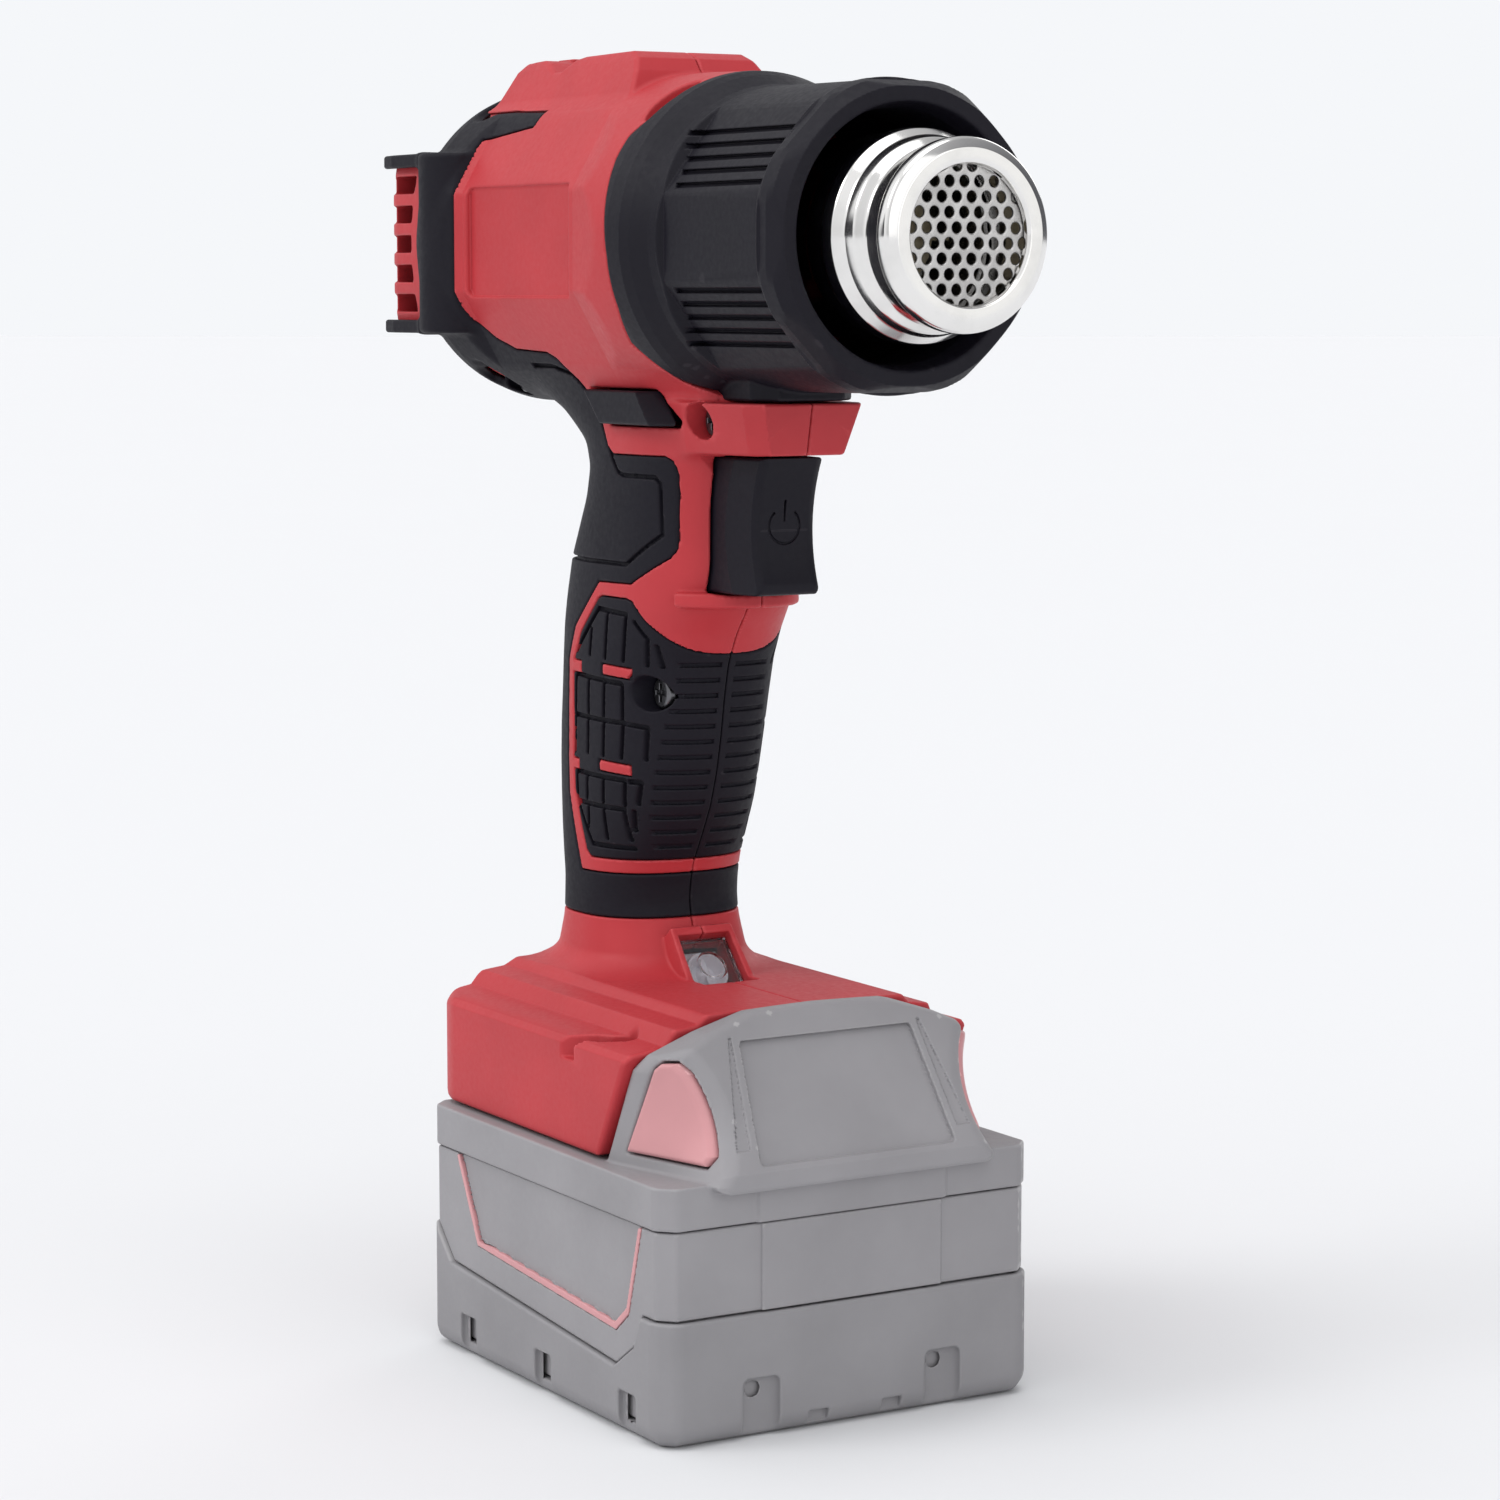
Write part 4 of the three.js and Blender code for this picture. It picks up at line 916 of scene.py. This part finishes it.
def light_board(x, y, z):
    """A white board that carries a reflector cup with the lamp in its middle."""
    along, out, length = led_axes(x, z)
    middle = np.hypot(y, along - length / 2)
    board = all_of(0.2, np.abs(y) - 5, span(along, 1, length - 1), span(out, -5.8, -4.6))
    cup = all_of(0.2, middle - 4.3, span(out, -5, -1.9))
    dish = both(middle - 3.7 - (out + 2) * 0.5, -4.2 - out)
    lamp = np.sqrt(middle**2 + (out + 4.4) ** 2) - 1.7
    bridge = both(np.abs(y) - 0.5, all_of(0.1, middle - 4, span(out, -3.2, -2.6)))
    return any_of(0.1, board, without(cup, dish, 0.1), lamp, bridge)


# ---------- the battery pack ----------
def pack_plan(x, y, inset):
    """Distance to the pack's outline in plan, with its corners cut off."""
    middle, reach = (PACK_X[0] + PACK_X[1]) / 2, (PACK_X[1] - PACK_X[0]) / 2
    u, v = np.abs(x - middle) - reach, np.abs(y) - PACK_HALF
    corner = (u + v + PACK_CORNER) * math.sqrt(0.5)
    return both(both(u, v), corner, 1.2) + inset


STRIPE_LOW = [(-34.2, 39.4), (-25.4, 22.6), (31, 18.4), (36.2, 22.6), (41, 39.4)]


def side_recess(x, y, z, grow):
    """The blank panel in the pack's side, which the coloured stripe runs around."""
    outline = [(-34.2, 44), *STRIPE_LOW, (41, 44)]
    return inside(outline, x, z) + grow


# Where the pack's rubber tray meets its case, seen from the side.
TRAY_EDGE = [
    (-80, -9), (-80, 24.7), (-42.5, 24.7), (-35.5, 17.7), (31, 12.5), (38.5, 17.5), (41, 23.5),
    (80, 23.5), (80, -9),
]


def pack_bumper(x, y, z):
    """The rubber tray around the bottom of the pack, with notches in its front and its sides."""
    across = np.abs(y)
    form = both(pack_plan(x, y, 0.05), span(z, 0, BUMPER_TOP), 0.7)
    belly = both(pack_plan(x, y, 0.05), -z, 4.2)
    form = both(form, belly, 0)
    form = both(form, inside(TRAY_EDGE, x, z), 0.6)
    form = without(form, both(pack_plan(x, y, 2), 2.6 - z))
    front = PACK_X[1]
    cuts = []
    for centre in (-19.8, 19.8):
        notch = block(x, y, z, (front - 1.7, FAR), (centre - 3.9, centre + 3.9), (-5, 11.4), 1.4)
        cuts += [notch, both(rod(y, z, centre - 1.2, 9.2, 1.5), front - 3.2 - x)]
    for centre in (-7.4, 8.6):
        cuts.append(block(x, y, z, (front - 1.6, FAR), (centre - 2.1, centre + 2.1), (1.4, 3.6), 0.3))
    for centre in (-28, 3, 36):
        cuts.append(all_of(0.8, span(x, centre - 3.3, centre + 3.3), PACK_HALF - 1.6 - across, z - 8.4))
        pit = span(x, centre - 0.2, centre + 2.4)
        cuts.append(all_of(0.3, pit, PACK_HALF - 2.6 - across, span(z, 3, 6.6)))
    return without(form, any_of(0, *cuts), 0.4)


def pack_bottom_case(x, y, z):
    across = np.abs(y)
    form = both(pack_plan(x, y, 0.85), span(z, 3, PACK_SEAM_Z), 0.45)
    front = PACK_X[1]
    raised = all_of(0.3, x - front + 0.3, across - 19.6, front - 4 - x, span(z, 20, PACK_SEAM_Z))
    tray = inside(TRAY_EDGE, x, z) - 0.35
    panel = both(side_recess(x, y, z, 1.9), PACK_HALF - 1.5 - across, 0)
    channel = without(side_recess(x, y, z, 0.55), side_recess(x, y, z, 1.75))
    return carved(
        either(form, raised, 0.3),
        (without(tray, pack_plan(x, y, 2.6)), 0.3), (panel, 0.25),
        (both(channel, PACK_HALF - 1.8 - across), 0.1), (both(pack_plan(x, y, 3.4), 4.2 - z), 0),
    )


def pack_stripe(x, y, z):
    """The raised coloured line around the side panel, wider along its bottom."""
    across = np.abs(y)
    band = without(side_recess(x, y, z, 0.65), side_recess(x, y, z, 1.6))
    low = both(without(side_recess(x, y, z, 0.65), side_recess(x, y, z, 1.9)), z - 24)
    form = both(either(band, low), span(across, PACK_HALF - 1.75, PACK_HALF - 0.72), 0.12)
    return both(form, z - PACK_SEAM_Z + 0.2)


GABLE_SIDE = [
    (19.9, PACK_TOP - 2), (30.4, 70), (33.3, 77.2), (36, 77.2), (37.4, 75.2), (52, 50.2),
    (52, PACK_TOP - 2),
]
GABLE_FRONT = mirrored([
    (37.6, PACK_TOP - 2), (37, 52), (36, 67), (33.4, 69.8), (25, 73.6), (15, 76.9), (0, 77.9),
])


def gable(x, y, z, inset=0.0):
    """The roof-shaped front of the pack, which rises in front of the foot."""
    across = np.abs(y)
    side = inside(GABLE_SIDE, x, z) + inset
    front = inside(GABLE_FRONT, y, z) + inset
    rear = 21.5 + (z - 50) * 0.445
    lean = np.clip(0.3 + (z - 50) * 0.027, 0.25, 0.95)
    shoulder = (across - 37.6 + (x - rear) * lean) * 0.85 + inset
    return both(both(side, front, 1.2), shoulder, 2)


def gable_face(x, z):
    """Distance out of the gable's sloping front."""
    return (x - 52) * 0.863 + (z - 50.2) * 0.505


def gable_panel(x, y, z):
    """The blank sunken panel on the pack's front, which widens downwards."""
    edge = (np.abs(y) - 18.7 - (71.5 - z) * 0.12) * 0.99
    return both(both(edge, span(z, 51.2, 72), 0.8), -gable_face(x, z) - 1.0)


def gable_creases(x, y, z):
    """The long wedge-shaped hollows on each side of the front panel."""
    middle = 20.6 + (72 - z) * 0.18
    width = 0.3 + (72 - z) * 0.06
    wedge = np.abs(np.abs(y) - middle) - width
    return both(both(wedge, span(z, 54, 72.6)), -gable_face(x, z) - 0.4, 0)


BUTTON_SIDE = [(27.4, 51.2), (46, 51), (47, 53), (39.6, 67.2), (37.8, 69), (35.4, 68.8), (34.2, 67.6)]


def button_hollow(x, y, z):
    return both(inside(BUTTON_SIDE, x, z) - 0.35, 20 - np.abs(y))


def plate_front(x, y, z):
    """The slightly raised middle of the top plate's front edge."""
    return block(x, y, z, (40, PACK_X[1]), (-20.4, 20.4), (PACK_SEAM_Z + 0.3, PACK_TOP), 0.4)


def pack_tower(x, y, z):
    """The block on top of the pack that slides into the foot, with a rail along each side."""
    outline = mirrored([(25.6, 46), (25.6, 56), (31, 56), (31, 61.6)])
    return both(inside(outline, y, z), span(x, -35, 24), 0.4)


BLADE_Y = (-11, 0, 11)


def pack_top_case(x, y, z):
    plate = both(pack_plan(x, y, 0.45), span(z, PACK_SEAM_Z + 0.3, PACK_TOP), 0.5)
    form = any_of(0.6, plate, plate_front(x, y, z), gable(x, y, z))
    form = either(form, pack_tower(x, y, z), 0.3)
    slits = [block(x, y, z, (-40, -14), (at - 0.9, at + 0.9), (55.4, 70)) for at in BLADE_Y]
    return carved(
        form,
        (gable_panel(x, y, z), 0.15), (gable_creases(x, y, z), 0.3), (button_hollow(x, y, z), 0.5),
        (both(pack_plan(x, y, 3), z - PACK_TOP + 2.4), 0),
        (block(x, y, z, (-32.5, 20), (-23, 23), (40, 59.4)), 0),
        *((slit, 0.15) for slit in slits),
        (both(gable(x, y, z, 2.6), PACK_TOP - 4 - z), 0),
    )


def release_button(x, y, z):
    """A pad that stands a little proud of the gable's slanting side."""
    cap = both(inside(BUTTON_SIDE, x, z) + 0.1, gable(x, y, z, -0.7), 1.0)
    return both(cap, 21 - np.abs(y), 0.4)


# ---------- materials ----------
def new_material(name):
    material = bpy.data.materials.new(name)
    material.use_nodes = True
    tree = material.node_tree
    shader = tree.nodes["Principled BSDF"]
    return material, tree, shader


def node(tree, kind, **values):
    made = tree.nodes.new(kind)
    for key, value in values.items():
        if hasattr(made, key):
            setattr(made, key, value)
        else:
            made.inputs[key.replace("_", " ")].default_value = value
    return made


def place_of(tree):
    """Positions in metres that don't depend on UVs."""
    return node(tree, "ShaderNodeTexCoord").outputs["Object"]


def noise(tree, scale, detail=3.0):
    texture = node(tree, "ShaderNodeTexNoise", Scale=scale, Detail=detail, Roughness=0.55)
    tree.links.new(place_of(tree), texture.inputs["Vector"])
    return texture.outputs["Fac"]


def remapped(tree, value, from_range, to_range):
    mapped = node(tree, "ShaderNodeMapRange")
    mapped.inputs["From Min"].default_value, mapped.inputs["From Max"].default_value = from_range
    mapped.inputs["To Min"].default_value, mapped.inputs["To Max"].default_value = to_range
    tree.links.new(value, mapped.inputs["Value"])
    return mapped.outputs["Result"]


def blended(tree, factor, first, second):
    """A colour between two others. A colour may be a socket or three numbers."""
    mix = node(tree, "ShaderNodeMix", data_type="RGBA")
    tree.links.new(factor, mix.inputs["Factor"])
    ins = [i for i in mix.inputs if i.type == "RGBA"]
    for socket, colour in zip(ins, (first, second)):
        if isinstance(colour, bpy.types.NodeSocket):
            tree.links.new(colour, socket)
        else:
            socket.default_value = (*colour, 1)
    return next(o for o in mix.outputs if o.type == "RGBA")


def coloured(tree, shader, factor, first, second):
    """A base colour that wanders between two others."""
    tree.links.new(blended(tree, factor, first, second), shader.inputs["Base Color"])


def roughened(tree, shader, source, low, high, top=0.7):
    """A roughness that wanders between two values, as the source goes from 0.3 to its top."""
    tree.links.new(remapped(tree, source, (0.3, top), (low, high)), shader.inputs["Roughness"])


def bumped(tree, shader, layers):
    """Bump from several height sources, each with its strength and height in metres."""
    normal = None
    for height, strength, distance in layers:
        bump = node(tree, "ShaderNodeBump")
        bump.inputs["Strength"].default_value = strength
        bump.inputs["Distance"].default_value = distance
        tree.links.new(height, bump.inputs["Height"])
        if normal is not None:
            tree.links.new(normal, bump.inputs["Normal"])
        normal = bump.outputs["Normal"]
    tree.links.new(normal, shader.inputs["Normal"])


def lighter_edges(tree):
    """From 0 to 1 along outside edges, from the mesh's own curvature."""
    pointy = node(tree, "ShaderNodeNewGeometry").outputs["Pointiness"]
    return remapped(tree, pointy, (0.53, 0.60), (0.0, 1.0))


FINE = 0.00002  # height in metres of the finest grain


def moulded(name, colour, edge_colour, roughness, grain=5200, specular=0.45):
    """Moulded plastic or rubber: spark-eroded grain, faint cloudiness, and a lighter colour along outside
    edges.
    """
    material, tree, shader = new_material(name)
    cloud = noise(tree, 38, 4)
    darker = tuple(0.86 * channel for channel in colour)
    base = blended(tree, remapped(tree, cloud, (0.3, 0.7), (0, 1)), darker, colour)
    coloured(tree, shader, lighter_edges(tree), base, edge_colour)
    roughened(tree, shader, noise(tree, 900, 3), roughness - 0.05, roughness + 0.06)
    bumped(tree, shader, [(noise(tree, grain, 2), 0.55, FINE), (noise(tree, 70, 2), 0.25, 0.00012)])
    shader.inputs["Specular IOR Level"].default_value = specular
    return material


def plated(name, colour, roughness):
    """Bright metal with fine rubbed lines around the barrel's axis and faint smudges."""
    material, tree, shader = new_material(name)
    shader.inputs["Metallic"].default_value = 1.0
    mapping = node(tree, "ShaderNodeMapping")
    mapping.inputs["Scale"].default_value = (2600, 60, 60)
    tree.links.new(place_of(tree), mapping.inputs["Vector"])
    streaks = node(tree, "ShaderNodeTexNoise", Scale=1.0, Detail=4.0)
    tree.links.new(mapping.outputs["Vector"], streaks.inputs["Vector"])
    smudge = noise(tree, 95, 5)
    tint = tuple(0.82 * channel for channel in colour)
    coloured(tree, shader, remapped(tree, smudge, (0.45, 0.8), (0, 1)), colour, tint)
    roughened(tree, shader, smudge, roughness, roughness + 0.1, top=0.75)
    bumped(tree, shader, [(streaks.outputs["Fac"], 0.05, FINE)])
    return material


def brushed(name, colour, roughness):
    """Drawn or stamped steel with a random fine grain."""
    material, tree, shader = new_material(name)
    shader.inputs["Metallic"].default_value = 1.0
    grain = noise(tree, 1800, 4)
    shade = tuple(0.7 * channel for channel in colour)
    coloured(tree, shader, remapped(tree, noise(tree, 160, 4), (0.35, 0.7), (0, 1)), colour, shade)
    roughened(tree, shader, grain, roughness - 0.08, roughness + 0.1)
    bumped(tree, shader, [(grain, 0.2, FINE)])
    return material


def circuit_board():
    """Green solder mask with lighter tracks."""
    material, tree, shader = new_material("circuit_board")
    cells = node(tree, "ShaderNodeTexVoronoi", Scale=420.0, distance="CHEBYCHEV", feature="F1")
    tree.links.new(place_of(tree), cells.inputs["Vector"])
    tracks = remapped(tree, cells.outputs["Distance"], (0.42, 0.5), (0, 1))
    coloured(tree, shader, tracks, (0.02, 0.13, 0.06), (0.05, 0.24, 0.11))
    roughened(tree, shader, noise(tree, 500), 0.3, 0.45)
    bumped(tree, shader, [(cells.outputs["Distance"], 0.2, 0.00003)])
    return material


def mica():
    """Pressed mica board: flaky layers."""
    material, tree, shader = new_material("mica")
    flakes = node(tree, "ShaderNodeTexVoronoi", Scale=700.0)
    tree.links.new(place_of(tree), flakes.inputs["Vector"])
    coloured(tree, shader, flakes.outputs["Distance"], (0.42, 0.34, 0.2), (0.66, 0.58, 0.42))
    roughened(tree, shader, noise(tree, 800), 0.45, 0.65)
    bumped(tree, shader, [(flakes.outputs["Distance"], 0.4, 0.00005)])
    return material


def clear_lens():
    """Clear moulded plastic, a little hazy."""
    material, tree, shader = new_material("clear_lens")
    shader.inputs["Base Color"].default_value = (0.93, 0.94, 0.97, 1)
    shader.inputs["Transmission Weight"].default_value = 1.0
    shader.inputs["IOR"].default_value = 1.49
    roughened(tree, shader, noise(tree, 300), 0.02, 0.1)
    bumped(tree, shader, [(noise(tree, 240, 2), 0.15, 0.00008)])
    return material


# The lighter colour that the black pieces take along their outside edges.
EDGE_BLACK = (0.02, 0.018, 0.024)
RUBBER_GRAIN = 4200
MATERIALS = {
    "red_shell": moulded("red_shell", (0.52, 0.041, 0.05), (0.6, 0.075, 0.085), 0.47, specular=0.25),
    "black_shell": moulded("black_shell", (0.008, 0.007, 0.0125), EDGE_BLACK, 0.5, specular=0.18),
    "rubber": moulded("rubber", (0.0085, 0.0075, 0.013), EDGE_BLACK, 0.6, RUBBER_GRAIN, 0.18),
    "nozzle_chrome": plated("nozzle_chrome", (0.86, 0.85, 0.83), 0.08),
    "satin_steel": brushed("satin_steel", (0.58, 0.57, 0.56), 0.3),
    "dark_steel": brushed("dark_steel", (0.16, 0.16, 0.17), 0.36),
    "led_white": moulded("led_white", (0.93, 0.91, 0.94), (0.97, 0.97, 0.97), 0.25, grain=900),
    "mica": mica(),
    "circuit_board": circuit_board(),
    "clear_lens": clear_lens(),
    "brass_blade": brushed("brass_blade", (0.75, 0.55, 0.24), 0.28),
    "pack_grey": moulded("pack_grey", (0.315, 0.306, 0.32), (0.4, 0.39, 0.4), 0.5, specular=0.35),
    "pack_rubber": moulded("pack_rubber", (0.29, 0.283, 0.295), (0.37, 0.36, 0.37), 0.6, RUBBER_GRAIN, 0.3),
    "pack_pink": moulded("pack_pink", (0.66, 0.31, 0.325), (0.74, 0.4, 0.41), 0.42),
    "cell_can": moulded("shrink_sleeve", (0.05, 0.16, 0.36), (0.1, 0.25, 0.5), 0.32, grain=900),
}


def finish_cad_nodes():
    """Each CAD node that stays gets its slot's material."""
    slots = {row["node"]: row["material_slot"] for row in frame["record"]["subparts"]}
    for name, piece in frame["nodes"].items():
        piece.data.materials.clear()
        piece.data.materials.append(MATERIALS[slots[name]])


def shown(piece, body_name, slot_name, *nodes):
    """Gives a finished mesh its material, its body and the CAD nodes it stands for."""
    piece.data.materials.clear()
    piece.data.materials.append(MATERIALS[slot_name])
    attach(piece, body_name)
    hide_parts(*nodes)


def reach_of(node_name, margin):
    """A CAD node's box in millimetres, with a margin."""
    low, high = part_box(node_name)
    pad = Vector((margin,) * 3)
    return low / MM - pad, high / MM + pad


# ---------- the pieces ----------
def make(node_name, form, body_name, slot_name, cell, margin=1.5):
    """The piece that takes a CAD node's place. The margin covers what stands outside the node's box."""
    low, high = reach_of(node_name, margin)
    piece = mesh_of("visual_" + node_name, form, low, high, cell)
    shown(piece, body_name, slot_name, node_name)


def make_tool_shells():
    for side, sign in (("left", 1), ("right", -1)):
        make(f"housing_{side}", half_of(housing, sign), "tool", "red_shell", 0.5, margin=3)
        make(f"rear_overmould_{side}", half_of(rear_rubber, sign), "tool", "rubber", 0.45, margin=9)
        make(f"grip_overmould_{side}", half_of(grip_rubber, sign), "tool", "rubber", 0.3, margin=8)
    for name, place in SCREWS.items():
        make(name, screw_form(place), "tool", "dark_steel", 0.16, margin=2)
    make("nozzle_guard", nozzle_guard, "tool", "black_shell", 0.4)
    make("intake_grille", intake_grille, "tool", "red_shell", 0.4)
    make("outlet_screen", outlet_screen, "tool", "satin_steel", 0.17)
    shown(turned("visual_nozzle", rounded_outline(NOZZLE_PROFILE)), "tool", "nozzle_chrome", "nozzle")


def make_controls():
    make("trigger", trigger, "trigger", "black_shell", 0.2, margin=3)
    make("lock_bar", lock_bar, "lock", "black_shell", 0.3)
    make("work_light_lens", lens_form, "tool", "clear_lens", 0.2, margin=4)
    make("work_light_board", light_board, "tool", "led_white", 0.2, margin=5)


def make_pack():
    make("pack_bumper", pack_bumper, "pack", "pack_rubber", 0.4, margin=4)
    make("pack_bottom_case", pack_bottom_case, "pack", "pack_grey", 0.42, margin=4)
    make("pack_top_case", pack_top_case, "pack", "pack_grey", 0.42, margin=4)
    for side, sign in (("left", 1), ("right", -1)):
        stripe, button = side_of(pack_stripe, sign), side_of(release_button, sign)
        make(f"pack_stripe_{side}", stripe, "pack", "pack_pink", 0.3, margin=4)
        make(f"release_button_{side}", button, f"release_{side}", "pack_pink", 0.3, margin=6)


# ---------- camera, light and floor ----------
CAMERA_AT = Vector((0.6583, -0.38563, 0.20827))
CAMERA_YAW = math.radians(30.81)
CAMERA_PITCH = math.radians(6.53)
CAMERA_LENS = 95.6


def make_camera():
    data = bpy.data.cameras.new("camera")
    data.lens = CAMERA_LENS
    data.sensor_width = 36
    data.clip_start, data.clip_end = 0.01, 20
    camera = bpy.data.objects.new("camera", data)
    camera.location = CAMERA_AT
    flat = math.cos(CAMERA_PITCH)
    look = Vector((-math.cos(CAMERA_YAW) * flat, math.sin(CAMERA_YAW) * flat, -math.sin(CAMERA_PITCH)))
    camera.rotation_euler = look.to_track_quat("-Z", "Y").to_euler()
    bpy.context.scene.collection.objects.link(camera)
    bpy.context.scene.camera = camera


def sun(name, direction, strength, angle):
    """Soft light from far away, in the direction from the object to the light."""
    data = bpy.data.lights.new(name, "SUN")
    data.energy = strength
    data.angle = math.radians(angle)
    light = bpy.data.objects.new(name, data)
    light.rotation_euler = Vector(direction).to_track_quat("Z", "Y").to_euler()
    bpy.context.scene.collection.objects.link(light)


WHITE = (1.0, 1.0, 1.0)
BACKDROP = (0.915, 0.93, 0.955)
SIDE_LIGHT = Vector((-0.45, -0.75, 0.5)).normalized()
FRONT_PANEL = Vector((0.78, 0.6, 0.06)).normalized()
DARK_FLAG = Vector((-0.62, -0.78, -0.05)).normalized()


def towards(tree, direction, low, high):
    """From 0 to 1 as the world's direction nears the given one."""
    dot = node(tree, "ShaderNodeVectorMath", operation="DOT_PRODUCT")
    dot.inputs[1].default_value = direction
    tree.links.new(node(tree, "ShaderNodeTexCoord").outputs["Generated"], dot.inputs[0])
    return remapped(tree, dot.outputs["Value"], (low, high), (0.0, 1.0))


def make_world():
    """A studio: bright on one side, a light panel in front, a dark flag and an even backdrop."""
    world = bpy.data.worlds.new("studio")
    world.use_nodes = True
    tree = world.node_tree
    around = tree.nodes["Background"]
    side = blended(tree, towards(tree, SIDE_LIGHT, -0.55, 0.9), (0.11, 0.112, 0.125), (0.98, 0.985, 1.0))
    lit = blended(tree, towards(tree, FRONT_PANEL, 0.86, 0.95), side, WHITE)
    shaded = blended(tree, towards(tree, DARK_FLAG, 0.93, 0.97), lit, (0.05, 0.05, 0.055))
    tree.links.new(shaded, around.inputs["Color"])
    backdrop = node(tree, "ShaderNodeBackground")
    backdrop.inputs["Color"].default_value = (*BACKDROP, 1)
    choose = node(tree, "ShaderNodeMixShader")
    tree.links.new(node(tree, "ShaderNodeLightPath").outputs["Is Camera Ray"], choose.inputs[0])
    tree.links.new(around.outputs[0], choose.inputs[1])
    tree.links.new(backdrop.outputs[0], choose.inputs[2])
    tree.links.new(choose.outputs[0], tree.nodes["World Output"].inputs["Surface"])
    bpy.context.scene.world = world


def make_light():
    make_world()
    sun("key", (-0.35, -1.0, 0.8), 0.62, 25)
    sun("front", (1.0, -0.1, 0.35), 0.8, 70)
    sun("top", (0.1, -0.1, 1.0), 0.95, 50)
    sun("rim", (-0.6, 1.0, 0.5), 0.35, 30)


FLOOR_RADIUS = 30.0


def make_floor():
    """A pale floor that reaches to the horizon."""
    mesh = bpy.data.meshes.new("floor")
    sheet = bmesh.new()
    bmesh.ops.create_circle(sheet, cap_ends=True, segments=64, radius=FLOOR_RADIUS)
    sheet.to_mesh(mesh)
    sheet.free()
    floor = bpy.data.objects.new("floor", mesh)
    bpy.context.scene.collection.objects.link(floor)
    material, tree, shader = new_material("floor")
    shader.inputs["Roughness"].default_value = 1.0
    shader.inputs["Specular IOR Level"].default_value = 0.0
    coloured(tree, shader, noise(tree, 3, 2), (0.765, 0.77, 0.783), (0.77, 0.775, 0.788))
    floor.data.materials.append(material)


bpy.context.scene.view_settings.view_transform = "Standard"
make_camera()
make_light()
make_floor()
finish_cad_nodes()
make_tool_shells()
make_controls()
make_pack()
